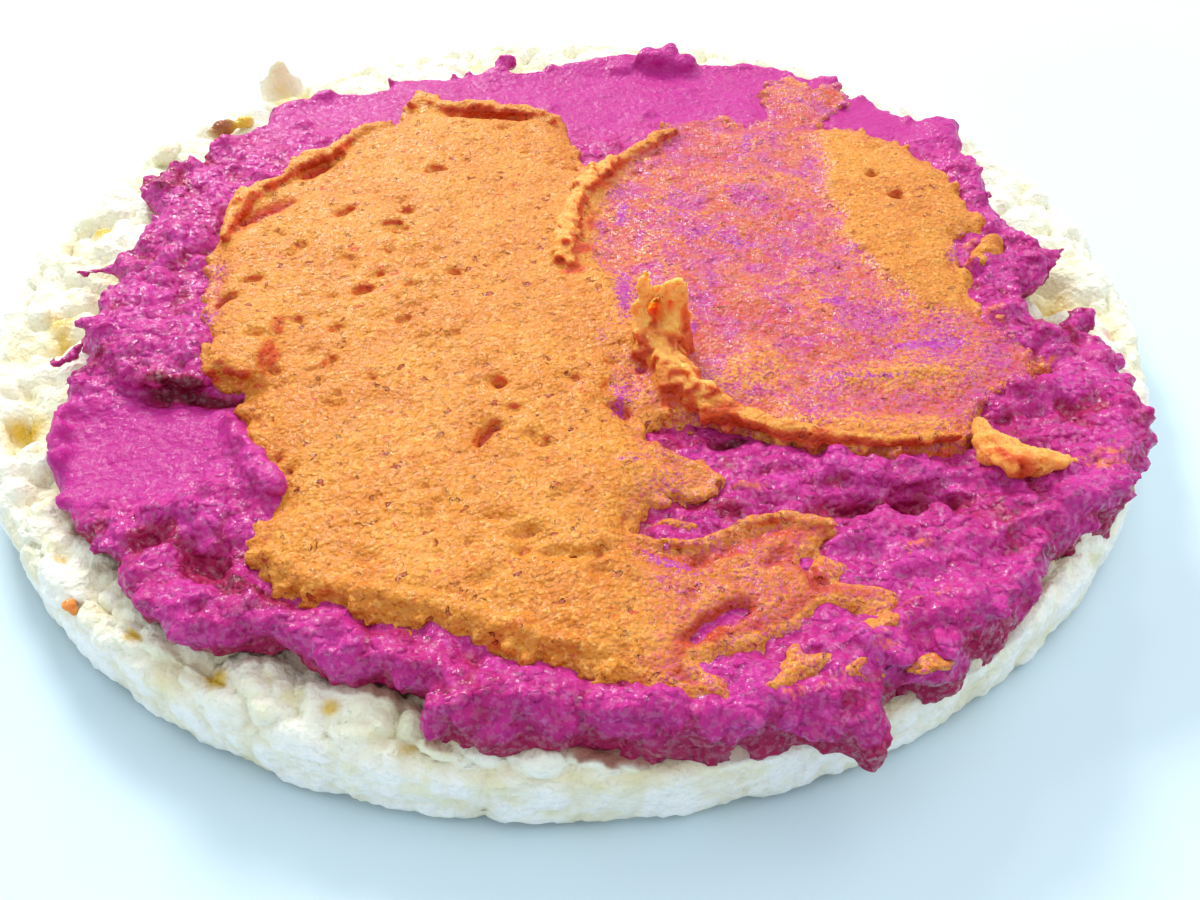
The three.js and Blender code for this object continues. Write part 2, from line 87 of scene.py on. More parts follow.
def roll(points, size, seed):
    """Rolling unevenness from -1 to 1 with hills about size across, at points in mm."""
    scaled = np.asarray(points, float) / size
    low = np.floor(scaled).astype(np.int64)
    t = scaled - low
    t = t * t * (3 - 2 * t)
    total = 0.0
    for corner in range(8):
        step = [(corner >> axis) & 1 for axis in range(3)]
        share = np.prod([t[:, a] if step[a] else 1 - t[:, a] for a in range(3)], axis=0)
        total = total + share * lattice(*(low + step).T, seed)
    return 2 * total - 1


def crumble(points, size, octaves, seed):
    """Rolling unevenness at several sizes, each half the last and turned another way."""
    turned = np.asarray(points, float)
    total = 0.0
    for n in range(octaves):
        turned = turned @ NOISE_TURN
        total = total + roll(turned, size / 2**n, seed + n) / 2**n
    return total / (2 - 2 ** (1 - octaves))


def grains(points, pitch, seed):
    """How far each point is from the nearest grain's middle, and how near it is to a crease."""
    scaled = np.asarray(points, float) / pitch
    low = np.floor(scaled).astype(np.int64)
    nearest = np.full(len(scaled), 9.0)
    second = np.full(len(scaled), 9.0)
    for i in (-1, 0, 1):
        for j in (-1, 0, 1):
            for k in (-1, 0, 1):
                cell = low + (i, j, k)
                middle = np.stack([lattice(*cell.T, seed + n) for n in range(3)], axis=1)
                away = np.linalg.norm(cell + 0.1 + 0.8 * middle - scaled, axis=1)
                second = np.minimum(second, np.maximum(nearest, away))
                nearest = np.minimum(nearest, away)
    return nearest, second - nearest


def ease(value, low, high):
    """0 below low, 1 above high and smooth between."""
    t = np.clip((value - low) / (high - low), 0, 1)
    return t * t * (3 - 2 * t)


def spots(x, y, places):
    """The sum of soft round spots, each with a middle, a reach and a strength."""
    total = np.zeros_like(x)
    for (cx, cy), reach, strength in places:
        total += strength * np.exp(-((x - cx) ** 2 + (y - cy) ** 2) / reach**2)
    return total


def skin_over_rings(counts):
    """The faces of a closed skin over rings that run from one pole to the other."""
    faces = []
    start = 0
    for a, b in zip(counts, counts[1:]):
        following = start + a
        i = j = 0
        while i < (a if a > 1 else 0) or j < (b if b > 1 else 0):
            if j >= b or b == 1 or (a > 1 and i < a and (i + 1) / a <= (j + 1) / b):
                faces.append((start + i % a, following + j % b, start + (i + 1) % a))
                i += 1
            else:
                faces.append((start + i % a, following + j % b, following + (j + 1) % b))
                j += 1
        start = following
    return faces


def new_piece(name, points_mm, faces):
    """A mesh object from points in millimetres, shaded smooth."""
    mesh = bpy.data.meshes.new(name)
    mesh.from_pydata((np.asarray(points_mm) * MM).tolist(), [], [tuple(map(int, f)) for f in faces])
    mesh.validate()
    mesh.shade_smooth()
    piece = bpy.data.objects.new(name, mesh)
    bpy.context.collection.objects.link(piece)
    return piece


def points_of(piece):
    """The piece's points, in millimetres."""
    flat = np.empty(3 * len(piece.data.vertices), np.float32)
    piece.data.vertices.foreach_get("co", flat)
    return flat.reshape(-1, 3).astype(float) / MM


def mark(piece, name, values):
    """Stores one number for each point, for the finish to read."""
    layer = piece.data.attributes.new(name, "FLOAT", "POINT")
    layer.data.foreach_set("value", np.clip(values, 0, 1).astype(np.float32))


def cake_profile():
    """Radius, height, outward direction and point spacing along the mould, from top to bottom."""
    rows = [(0.0, CAKE_TOP, 0.0, 1.0, 1.0)]
    rows += [(r, CAKE_TOP, 0.0, 1.0, 1.2) for r in np.arange(3, 31, 1.3)]
    shown_edge = CAKE_RADIUS - UPPER_ROUNDING
    rows += [(r, CAKE_TOP, 0.0, 1.0, TOP_STEP) for r in np.arange(31.2, shown_edge, TOP_STEP)]
    for turn in np.linspace(0, math.pi / 2, 10):
        out, up = math.sin(turn), math.cos(turn)
        r = shown_edge + UPPER_ROUNDING * out
        z = CAKE_TOP - UPPER_ROUNDING * (1 - up)
        rows.append((r, z, out, up, WALL_STEP))
    wall_top = CAKE_TOP - UPPER_ROUNDING - WALL_STEP
    rows += [(CAKE_RADIUS, z, 1.0, 0.0, WALL_STEP) for z in np.arange(wall_top, LOWER_ROUNDING, -WALL_STEP)]
    for turn in np.linspace(0, math.pi / 2, 7):
        out, down = math.cos(turn), math.sin(turn)
        r = CAKE_RADIUS - LOWER_ROUNDING * (1 - out)
        rows.append((r, LOWER_ROUNDING * (1 - down), out, -down, 0.42))
    underside_edge = CAKE_RADIUS - LOWER_ROUNDING - 0.5
    rows += [(r, 0.0, 0.0, -1.0, UNDERSIDE_STEP) for r in np.arange(underside_edge, 1.0, -UNDERSIDE_STEP)]
    rows.append((0.0, 0.0, 0.0, -1.0, 1.0))
    return rows


def build_cake():
    """The cake's skin: the mould's form pressed in by the creases between puffs."""
    counts, moulded, outward = [], [], []
    for radius, z, out, up, spacing in cake_profile():
        count = max(1, round(2 * math.pi * radius / spacing))
        angle = np.linspace(0, 2 * math.pi, count, endpoint=False)
        counts.append(count)
        moulded.append(np.stack([radius * np.cos(angle), radius * np.sin(angle), np.full(count, z)], 1))
        outward.append(np.stack([out * np.cos(angle), out * np.sin(angle), np.full(count, up)], 1))
    points = np.concatenate(moulded)
    normal = np.concatenate(outward)
    x, y, z = points.T
    reach = np.hypot(x, y)

    warped = points + 0.9 * np.stack([roll(points, 3.0, 30 + n) for n in range(3)], 1)
    grain, grain_crease = grains(warped, GRAIN_PITCH, 3)
    lobe, lobe_crease = grains(warped * (1, 1, 0.8), LOBE_PITCH, 7)
    on_side = 1 - np.abs(normal[:, 2])
    below = ease(-normal[:, 2], 0.2, 0.9)
    shown = ease(reach, FULL_RELIEF_FROM - 1, FULL_RELIEF_FROM + 3)
    strength = (1 - 0.74 * on_side) * (0.3 + 0.7 * np.maximum(shown, below)) * (1 - 0.35 * below)
    depth = 1.05 * np.clip(1.35 * grain, 0, 1.2) ** 2 + 0.34 * np.exp(-((grain_crease / 0.09) ** 2))
    depth += 0.58 * np.clip(1.3 * lobe, 0, 1.1) ** 2 + 0.2 * np.exp(-((lobe_crease / 0.12) ** 2))
    depth += 0.2 * (1 + roll(points, 7.0, 11)) * shown
    foam, _ = grains(points, 0.85, 14)
    depth = np.maximum(depth - 0.35, 0) * strength + 0.3 * foam**2 * (0.7 + 0.5 * strength)
    depth += 0.07 * (1 + crumble(points, 0.9, 3, 13))
    top_side = ease(normal[:, 2], -0.1, 0.4)
    hollow_spots = [(middle, span, min(1.0, 0.45 + deep)) for middle, span, deep in HOLLOWS]
    hollow = spots(x, y, hollow_spots) * top_side
    hollow *= 0.8 + 0.5 * crumble(points, 1.6, 2, 15)
    depth += spots(x, y, HOLLOWS) * top_side
    uneven = np.clip(0.4 + 0.9 * crumble(points * (1, 1, 0), 1.1, 2, 17), 0, 1)
    nibs = ease(1.0 - z, 0, 1) * on_side * uneven
    points = points - normal * (depth + 0.35 * nibs)[:, None]
    points[:, 2] += 0.55 * nibs * ease(z, 0.02, 0.4)

    piece = new_piece("puffed_rice_round", points, skin_over_rings(counts))
    # How deep each point lies in a crease: the creases take a glassy yellowish colour, made darker as
    # painted shade.
    crease = np.clip(0.85 * (depth / np.maximum(strength, 0.2) - 0.9), 0, 1)
    mark(piece, "crease", crease)
    mark(piece, "hollow", hollow)
    # The walls take a whiter colour than the crowns: painted light, standing in for the light the table
    # throws onto them.
    mark(piece, "side", on_side)
    mark(piece, "stain", spots(x, y, STAINS) * top_side * (0.55 + 0.45 * roll(points, 1.3, 19)))
    return piece


class Finish:
    """A node material made step by step; every call returns the socket it makes."""

    def __init__(self, name):
        self.material = bpy.data.materials.new(name)
        self.material.use_nodes = True
        self.nodes = self.material.node_tree.nodes
        self.links = self.material.node_tree.links
        self.shader = self.nodes["Principled BSDF"]
        place = self.nodes.new("ShaderNodeTexCoord")
        scale = self.nodes.new("ShaderNodeVectorMath")
        scale.operation = "SCALE"
        scale.inputs["Scale"].default_value = 1 / MM
        self.links.new(place.outputs["Object"], scale.inputs[0])
        self.place = scale.outputs[0]

    def set(self, **values):
        for name, value in values.items():
            self.shader.inputs[name.replace("_", " ")].default_value = value

    def stretched(self, scale, turn=0.0):
        """The place turned about Z and stretched, for marks that run one way."""
        node = self.nodes.new("ShaderNodeMapping")
        node.inputs["Scale"].default_value = scale
        node.inputs["Rotation"].default_value = (0, 0, math.radians(turn))
        self.links.new(self.place, node.inputs["Vector"])
        return node.outputs[0]

    def noise(self, size, detail=3.0, rough=0.55, place=None, warp=0.0):
        """Cloudy noise with patches about size mm across."""
        node = self.nodes.new("ShaderNodeTexNoise")
        node.inputs["Scale"].default_value = 1 / size
        node.inputs["Detail"].default_value = detail
        node.inputs["Roughness"].default_value = rough
        node.inputs["Distortion"].default_value = warp
        self.links.new(place or self.place, node.inputs["Vector"])
        return node.outputs["Fac"]

    def cells(self, size, feature="F1", place=None):
        node = self.nodes.new("ShaderNodeTexVoronoi")
        node.feature = feature
        node.inputs["Scale"].default_value = 1 / size
        self.links.new(place or self.place, node.inputs["Vector"])
        return node.outputs["Distance"]

    def ragged(self, size, amount):
        """The place shifted by noise, so that spots drawn there come out torn."""
        node = self.nodes.new("ShaderNodeTexNoise")
        node.inputs["Scale"].default_value = 1 / size
        node.inputs["Detail"].default_value = 0.0
        self.links.new(self.place, node.inputs["Vector"])
        shift = self.nodes.new("ShaderNodeVectorMath")
        shift.operation = "MULTIPLY_ADD"
        shift.inputs[1].default_value = (amount, amount, amount)
        self.links.new(node.outputs["Color"], shift.inputs[0])
        self.links.new(self.place, shift.inputs[2])
        return shift.outputs[0]

    def marked(self, name):
        """A number stored on the piece's points."""
        node = self.nodes.new("ShaderNodeAttribute")
        node.attribute_name = name
        return node.outputs["Fac"]

    def between(self, value, low, high, to_low=0.0, to_high=1.0):
        node = self.nodes.new("ShaderNodeMapRange")
        node.interpolation_type = "SMOOTHSTEP"
        node.inputs["From Min"].default_value = low
        node.inputs["From Max"].default_value = high
        node.inputs["To Min"].default_value = to_low
        node.inputs["To Max"].default_value = to_high
        self.links.new(value, node.inputs["Value"])
        return node.outputs[0]

    def sum(self, *terms, operation="ADD"):
        """Adds sockets or numbers, or joins them by another operation."""
        total = terms[0]
        for term in terms[1:]:
            node = self.nodes.new("ShaderNodeMath")
            node.operation = operation
            for socket, part in zip(node.inputs, (total, term)):
                if isinstance(part, (int, float)):
                    socket.default_value = part
                else:
                    self.links.new(part, socket)
            total = node.outputs[0]
        return total

    def times(self, *terms):
        return self.sum(*terms, operation="MULTIPLY")

    def mix(self, base, other, share):
        """A colour between two, each a colour in 0 to 255 or a socket."""
        node = self.nodes.new("ShaderNodeMix")
        node.data_type = "RGBA"
        for name, part in (("A", base), ("B", other)):
            socket = next(s for s in node.inputs if s.name == name and s.type == "RGBA")
            if isinstance(part, tuple):
                socket.default_value = screen_colour(part)
            else:
                self.links.new(part, socket)
        factor = next(s for s in node.inputs if s.name == "Factor" and s.type == "VALUE")
        self.links.new(share, factor)
        return next(s for s in node.outputs if s.type == "RGBA")

    def colour(self, socket):
        self.links.new(socket, self.shader.inputs["Base Color"])

    def roughness(self, socket):
        self.links.new(socket, self.shader.inputs["Roughness"])

    def wet_glints(self, share, where, relief):
        """A film of moisture on a share of the surface, broken up so that it glints."""
        glossy = self.between(self.noise(0.42, 1), 0.62 - 0.24 * share, 0.7 - 0.24 * share)
        self.links.new(self.times(glossy, where), self.shader.inputs["Coat Weight"])
        self.bumps((self.noise(0.34, 2, 0.7), relief), onto="Coat Normal")

    def bumps(self, *layers, onto="Normal"):
        """Fine relief: each layer is a socket and its height in mm."""
        normal = None
        for height, depth in layers:
            node = self.nodes.new("ShaderNodeBump")
            node.inputs["Distance"].default_value = depth * MM
            self.links.new(height, node.inputs["Height"])
            if normal is not None:
                self.links.new(normal, node.inputs["Normal"])
            normal = node.outputs["Normal"]
        self.links.new(normal, self.shader.inputs[onto])


def screen_colour(rgb):
    """A colour as the screen shows it, 0 to 255, as linear light."""
    shares = [c / 255 for c in rgb]
    return tuple(c / 12.92 if c <= 0.04045 else ((c + 0.055) / 1.055) ** 2.4 for c in shares) + (1.0,)


def puffed_rice_finish():
    """White to cream puffs, yellow and glassy where they are open, with specks of bran."""
    f = Finish("puffed_rice")
    crown = f.mix((247, 244, 226), (240, 236, 204), f.between(f.noise(5.0, 3), 0.4, 0.68))
    crown = f.mix(crown, (236, 225, 164), f.between(f.noise(3.0, 3), 0.54, 0.72, 0, 0.6))
    # The walls are painted whiter than the crowns: painted light for the light the table throws onto them.
    wall = f.mix((254, 254, 252), (243, 238, 204), f.between(f.noise(2.4, 3), 0.48, 0.72, 0, 0.8))
    body = f.mix(crown, wall, f.marked("side"))
    # The creases: glassy yellowish, and darker as painted shade in them.
    creased = f.mix(body, (235, 220, 170), f.times(f.marked("crease"), 0.62))
    hollow = f.mix(creased, (222, 182, 58), f.between(f.marked("hollow"), 0.3, 0.9))
    stained = f.mix(hollow, (232, 120, 150), f.between(f.marked("stain"), 0.12, 0.9, 0, 0.85))
    # Dark red-brown: on the puffs along the paste's edge, the wetting and a painted shadow under the edge;
    # on one burst grain, its dark brown.
    stained = f.mix(stained, (142, 52, 30), f.between(f.marked("brown_and_shadow"), 0.3, 0.95, 0, 0.9))
    bran = f.between(f.cells(3.4), 0.03, 0.075, 1, 0)
    speckled = f.mix(stained, (120, 92, 60), f.times(bran, f.between(f.noise(9.0, 2), 0.5, 0.6)))
    f.colour(speckled)
    f.roughness(f.between(f.marked("hollow"), 0.2, 0.8, 0.62, 0.25))
    f.set(Subsurface_Weight=0.22, Subsurface_Radius=(1.0, 0.75, 0.45), Subsurface_Scale=1.4 * MM,
          Specular_IOR_Level=0.4)
    f.bumps((f.noise(0.9, 3, 0.6), 0.3), (f.cells(0.4), 0.1))
    return f.material


rice = build_cake()
rice_material = puffed_rice_finish()
rice.data.materials.append(rice_material)
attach(rice, "root")
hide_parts("rice_cake")


# The burst grains.
# Grains at the far rim that tore open in the press: a thin pale husk that stands on end, a
# grain painted dark brown with a yellow one beside it, and a glassy one further left, all stuck to the
# cake.

# Lumps that make them up: middle, half sizes and turn.
BURST_GRAINS = [
    ((-30.5, 31.9, 7.8), (1.3, 0.45, 1.4), 17), ((-29.4, 32.2, 8.5), (1.3, 0.45, 2.0), 17),
    ((-28.4, 32.5, 7.8), (1.3, 0.45, 1.3), 17), ((-29.7, 32.1, 9.5), (0.8, 0.4, 1.0), 17),
    ((-34.2, 25.0, 7.2), (1.4, 0.9, 0.8), 35), ((-35.0, 24.2, 7.0), (0.8, 0.7, 0.6), 10),
    ((-32.4, 26.4, 7.0), (1.1, 0.7, 0.6), 30), ((-39.0, 20.2, 6.9), (1.5, 1.1, 1.0), 60),
    ((-38.4, 21.4, 6.9), (0.9, 0.8, 0.7), 20),
]
# Where they are yellow and glassy, and where painted dark brown: middle, reach and strength.
DARK_BROWN_GRAIN = ((-34.4, 24.8), 1.9, 1.0)
YELLOW_GRAINS = [
    ((-32.4, 26.4), 1.3, 0.9), DARK_BROWN_GRAIN, ((-29.4, 32.2), 2.4, 0.55), ((-39.0, 20.2), 2.0, 0.5),
]


def ball(rings=7, sectors=10):
    """A round lump of radius one, as points and faces."""
    turns = np.linspace(0, math.pi, rings + 1)
    around = np.linspace(0, 2 * math.pi, sectors, endpoint=False)
    points = [(0, 0, 1)]
    counts = [1]
    for t in turns[1:-1]:
        points += [(math.sin(t) * math.cos(a), math.sin(t) * math.sin(a), math.cos(t)) for a in around]
        counts.append(sectors)
    points.append((0, 0, -1))
    counts.append(1)
    return np.array(points), np.array(skin_over_rings(counts))


BALL_POINTS, BALL_FACES = ball()


def lump(at, half, turn=0.0, lean=0.0, seed=0, ragged=0.2):
    """A torn lump: middle, half sizes, turn about Z and lean about Y in degrees."""
    skin = BALL_POINTS * (1 + ragged * roll(BALL_POINTS * 1.7 + 3.1 * seed, 1.0, 60 + seed % 5))[:, None]
    skin = skin * half
    c, s = math.cos(math.radians(lean)), math.sin(math.radians(lean))
    skin = skin @ np.array([[c, 0, -s], [0, 1, 0], [s, 0, c]])
    c, s = math.cos(math.radians(turn)), math.sin(math.radians(turn))
    skin = skin @ np.array([[c, s, 0], [-s, c, 0], [0, 0, 1]])
    return skin + at, BALL_FACES


def fuse(name, parts, voxel, soften=1):
    """Joins overlapping closed parts into one clean skin."""
    raw_points, raw_faces, start = [], [], 0
    for points, faces in parts:
        raw_points.append(points)
        raw_faces += [tuple(face) for face in (np.asarray(faces) + start)]
        start += len(points)
    piece = new_piece(name, np.concatenate(raw_points), raw_faces)
    remesh = piece.modifiers.new("one_skin", "REMESH")
    remesh.mode = "VOXEL"
    remesh.voxel_size = voxel * MM
    if soften:
        smooth = piece.modifiers.new("soften", "SMOOTH")
        smooth.factor = 0.5
        smooth.iterations = soften
    settle(piece)
    return piece


def settle(piece):
    """Applies the piece's modifiers."""
    evaluated = piece.evaluated_get(bpy.context.evaluated_depsgraph_get())
    mesh = bpy.data.meshes.new_from_object(evaluated)
    piece.modifiers.clear()
    old = piece.data
    piece.data = mesh
    bpy.data.meshes.remove(old)
    mesh.name = piece.name
    mesh.shade_smooth()


def mark_evenly(piece, **values):
    """Stores the same number on every point, for each name given."""
    for name, value in values.items():
        mark(piece, name, np.full(len(piece.data.vertices), value))


def build_burst_grains():
    parts = [lump(at, half, turn, 0, n, 0.3) for n, (at, half, turn) in enumerate(BURST_GRAINS)]
    piece = fuse("burst_grains", parts, 0.2)
    x, y, _ = points_of(piece).T
    mark(piece, "hollow", spots(x, y, YELLOW_GRAINS))
    mark(piece, "brown_and_shadow", spots(x, y, [DARK_BROWN_GRAIN]))
    mark_evenly(piece, crease=0.0, side=0.0, stain=0.0)
    return piece


bursts = build_burst_grains()
bursts.data.materials.append(rice_material)
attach(bursts, "root")


# The pink spread.
# A moist paste laid on thick with a knife: swept smooth at the back and left, dragged into
# ridges on the right and left as a crumbly bank at the front, with one drip over the rim.

PINK_TOP = 9.1
PASTE_STEP = 0.3

# The spread's edge on the puffs, counterclockwise from the right.
PINK_EDGE = [
    (40.4, -3.2), (38.4, 1.4), (37.7, 5.2), (38.3, 9.6), (36.9, 12.6), (38.3, 16.6), (38.4, 20.0),
    (35.6, 20.4), (33.0, 22.2), (31.4, 25.0), (29.0, 26.6), (28.6, 30.2), (25.2, 30.8),
    (22.2, 33.0), (18.0, 33.8), (14.0, 34.4), (11.8, 36.0), (9.4, 36.8), (6.4, 36.4), (3.0, 35.6),
    (0.6, 34.8), (-1.8, 34.0), (-4.8, 33.0), (-6.6, 34.6), (-9.1, 33.6), (-12.7, 32.7),
    (-17.9, 32.4), (-19.4, 29.8), (-22.6, 29.0), (-25.4, 30.0), (-26.4, 27.8), (-29.7, 26.2),
    (-30.0, 22.4), (-32.5, 20.8), (-34.5, 19.4), (-34.8, 16.0), (-37.8, 13.6), (-38.5, 10.6),
    (-36.9, 7.6), (-36.5, 2.6), (-38.4, 0.0), (-37.0, -2.6), (-37.6, -6.0), (-36.6, -9.4),
    (-36.7, -12.4), (-35.6, -14.2), (-36.9, -17.4), (-37.0, -21.4), (-35.0, -25.2), (-32.1, -30.2),
    (-29.4, -32.4), (-27.6, -35.5), (-24.0, -38.3), (-21.4, -39.4), (-17.4, -39.4), (-15.0, -41.4),
    (-12.1, -41.9), (-8.6, -43.2), (-8.8, -44.9), (-6.8, -45.7), (-2.3, -46.1), (3.0, -46.3),
    (7.4, -46.8), (12.4, -45.8), (14.6, -46.4), (16.4, -46.4), (17.8, -43.6), (21.8, -42.8),
    (24.6, -40.6), (28.4, -37.2), (30.6, -33.9), (34.1, -31.7), (36.7, -30.0), (37.3, -28.0),
    (39.4, -26.0), (40.4, -23.8), (40.7, -19.6), (40.8, -17.0), (41.4, -15.2), (40.4, -12.8),
    (40.8, -9.0), (39.6, -9.2), (38.8, -12.0), (37.0, -11.6), (36.4, -7.4), (38.0, -5.8),
]

# Crests and grooves of the top: middle, direction in degrees, half length, half width, rise.
PINK_RIDGES = [
    ((-33, -5), 82, (13, 2.2), 0.9), ((-28.5, -14.2), -12, (4.5, 1.7), 0.6),
    ((-28.0, -18.0), -8, (4.6, 0.7), -0.8), ((-30.5, -24), -50, (6, 4), -0.35),
    ((-20.9, -25.2), 125, (4.6, 1.1), 1.0), ((-26.4, -31.2), 20, (1.7, 1.3), -1.25),
    ((-23.0, -33.6), -30, (1.6, 1.1), -1.25), ((-24.8, -28.8), 30, (2.6, 1.2), 0.6),
    ((-18, -38), -14, (9, 1.8), 0.5), ((-1, -43.8), -4, (16, 1.6), 0.7),
    ((20.6, -30.2), 2, (4.8, 0.8), -2.2), ((22.5, -32.2), 10, (7, 1.6), 0.8),
    ((17, -27), -8, (7, 1.6), 0.5), ((24, -37.8), 36, (6, 1.6), 0.6),
    ((35.5, -15), 12, (3.4, 0.8), -0.6), ((35.5, -18.5), 22, (5, 1.3), 0.6),
    ((34, -22.4), 15, (4, 0.9), -0.5), ((32, -31), 40, (5, 1.6), 0.7),
    ((37, -12.0), 70, (4, 1.4), 0.8), ((-32, 20), 50, (8, 2), 0.5), ((-36, 12), 80, (3, 2.2), 0.8),
    ((-25, 28), 30, (3, 2), 0.7), ((-6, 33), 0, (3, 2), 0.8), ((4.0, 34.4), 12, (6, 2.2), 0.9),
    ((36, 18.5), 80, (3.4, 2), 1.0), ((36, 9.5), 90, (3, 1.8), 0.8), ((38, -24), 60, (4, 2), 0.7),
    ((-21.5, -32.8), 30, (2.2, 1.3), -1.3), ((-17.4, -34.6), -20, (2.4, 1.1), -1.2),
    ((-21.5, -38.2), 0, (1.8, 1.2), -0.9), ((10.8, -23.4), 10, (1.6, 0.9), -1.4),
    ((4.5, -31.2), 60, (2.2, 1.0), -0.6), ((30, -27.8), 10, (3.5, 0.9), 0.5),
    ((27.6, -34.2), 35, (3.2, 0.8), -0.9), ((20.6, -40.6), 25, (1.8, 0.9), -0.9),
    ((13, -28.6), -5, (4, 1.0), 0.45),
]


def between_corners(a, b, c, d, t):
    """The point at share t of the way from b to c, on a smooth curve through all four."""
    bend = 2 * a - 5 * b + 4 * c - d
    twist = 3 * b - a - 3 * c + d
    return 0.5 * (2 * b + (c - a) * t + bend * t**2 + twist * t**3)


def closed_curve(corners, parts=4):
    """A smooth closed line through the corners."""
    p = np.asarray(corners, float)
    before, after, beyond = np.roll(p, 1, 0), np.roll(p, -1, 0), np.roll(p, -2, 0)
    steps = np.linspace(0, 1, parts, endpoint=False)
    line = [between_corners(before, p, after, beyond, t) for t in steps]
    return np.stack(line, 1).reshape(-1, 2)


def route_of(points, spacing):
    """Evenly spaced points along a smooth open line, with every value that the corners hold."""
    p = np.asarray(points, float)
    p = np.vstack([2 * p[0] - p[1], p, 2 * p[-1] - p[-2]])
    line = []
    for a, b, c, d in zip(p, p[1:], p[2:], p[3:]):
        steps = max(2, int(np.linalg.norm((c - b)[:2]) / spacing))
        line += [between_corners(a, b, c, d, t) for t in np.linspace(0, 1, steps, endpoint=False)]
    line.append(p[-2])
    return np.array(line)


def depth_inside(x, y, line):
    """How far points are inside a closed line, negative outside it."""
    nearest = np.full(x.shape, 1e9)
    inside = np.zeros(x.shape, bool)
    for (ax, ay), (bx, by) in zip(line, np.roll(line, -1, 0)):
        dx, dy = bx - ax, by - ay
        share = np.clip(((x - ax) * dx + (y - ay) * dy) / (dx * dx + dy * dy + 1e-12), 0, 1)
        nearest = np.minimum(nearest, (x - ax - share * dx) ** 2 + (y - ay - share * dy) ** 2)
        if ay != by:
            inside ^= ((ay > y) != (by > y)) & (x < dx * (y - ay) / dy + ax)
    return np.where(inside, 1, -1) * np.sqrt(nearest)


def flat(x, y, scale=(1, 1), turn=0.0):
    """Plan positions as points for the noise, turned by degrees and squeezed along each axis."""
    c, s = math.cos(math.radians(turn)), math.sin(math.radians(turn))
    along = (x * c + y * s) * scale[0]
    across = (y * c - x * s) * scale[1]
    return np.stack([along, across, np.zeros_like(x)], -1).reshape(-1, 3)


def ridge_rise(x, y, ridges):
    total = np.zeros_like(x)
    for (cx, cy), turn, (length, width), rise in ridges:
        c, s = math.cos(math.radians(turn)), math.sin(math.radians(turn))
        along = ((x - cx) * c + (y - cy) * s) / length
        across = ((y - cy) * c - (x - cx) * s) / width
        total += rise * np.exp(-(along**4) - across**2)
    return total


def slab_of_pink(x, y):
    """1 on the slab at the left that the knife swept flat."""
    return np.exp(-(((x + 30.2) / 6.6) ** 6) - ((y + 23.4) / 5.2) ** 6)


def roughness_of_pink(x, y):
    """1 where the paste is left in crags, near 0 where the knife swept it smooth."""
    back = ease(y, 12, 24) * (1 - 0.5 * ease(-x, 28, 34))
    edge = 1 - ease(depth_inside(x, y, PINK_LINE), 0.8, 2.4)
    crest = ridge_rise(x, y, [((-21.0, -25.2), 125, (5.4, 2.0), 0.4)])
    folded = 0.45 * ease(x, 24, 30) * ease(y, 8, 16)
    left_rough = 1 - 0.8 * back * (1 - 0.7 * edge) - 0.86 * slab_of_pink(x, y) - crest - folded
    return np.clip(left_rough, 0.03, 1)


def pink_top(x, y):
    """The height of the pink's top, in mm above the table."""
    shape = x.shape
    swell = 0.35 * roll(flat(x, y), 13, 41).reshape(shape)
    under_orange = ease(depth_inside(x, y, ORANGE_LINE), -1.6, 0.6)
    open_part = 1 - 0.85 * under_orange
    rough = roughness_of_pink(x, y)
    dragged = 1 - 2 * np.abs(crumble(flat(x, y, (0.3, 1), 12), 2.4, 3, 43).reshape(shape))
    lumps = crumble(flat(x, y), 3.6, 3, 45).reshape(shape)
    folds = 1 - np.abs(crumble(flat(x, y), 5.2, 2, 48).reshape(shape)) * 2
    crags = rough * (0.45 * lumps + 0.28 * folds + 0.6 * dragged * ease(x, 6, 20))
    sweep = 0.07 * roll(flat(x, y, (0.16, 1.9), 24), 1.0, 52).reshape(shape)
    slab_edge = y - np.interp(x, [-36, -29, -25.3, -22.8], [-14.2, -16.6, -17.1, -18.0])
    bank = 1.25 * ease(slab_edge, 0, 0.4) * (1 - ease(slab_edge, 3, 12)) * ease(-x, 21.0, 22.6)
    bank = bank - 0.45 * slab_of_pink(x, y)
    return PINK_TOP + swell + open_part * (crags + ridge_rise(x, y, PINK_RIDGES)) + bank + sweep


def paste_sheet(x_range, y_range, top, bottom, inside):
    """A closed sheet over a square grid: points and faces where inside holds."""
    xs = np.arange(*x_range, PASTE_STEP)
    ys = np.arange(*y_range, PASTE_STEP)
    x, y = np.meshgrid(xs, ys, indexing="ij")
    above, below = top(x, y), bottom(x, y)
    keep = inside(x, y) & (above > below + 0.05)
    cell = keep[:-1, :-1] & keep[1:, :-1] & keep[1:, 1:] & keep[:-1, 1:]
    number = np.arange(x.size).reshape(x.shape)
    corners = np.stack([number[:-1, :-1], number[1:, :-1], number[1:, 1:], number[:-1, 1:]], -1)[cell]
    faces = [corners, corners[:, ::-1] + x.size]
    padded = np.pad(cell, 1)
    sides = ((0, -1, 0, 1), (1, 0, 1, 2), (0, 1, 2, 3), (-1, 0, 3, 0))
    for di, dj, first, last in sides:
        rim = cell & ~padded[1 + di:1 + di + cell.shape[0], 1 + dj:1 + dj + cell.shape[1]]
        ends = np.stack([number[:-1, :-1], number[1:, :-1], number[1:, 1:], number[:-1, 1:]], -1)[rim]
        a, b = ends[:, first], ends[:, last % 4]
        faces.append(np.stack([b, a, a + x.size, b + x.size], 1))
    points = np.concatenate([np.stack([x, y, z], -1).reshape(-1, 3) for z in (above, below)])
    faces = np.concatenate(faces)
    used, faces = np.unique(faces, return_inverse=True)
    return points[used], faces.reshape(-1, 4)


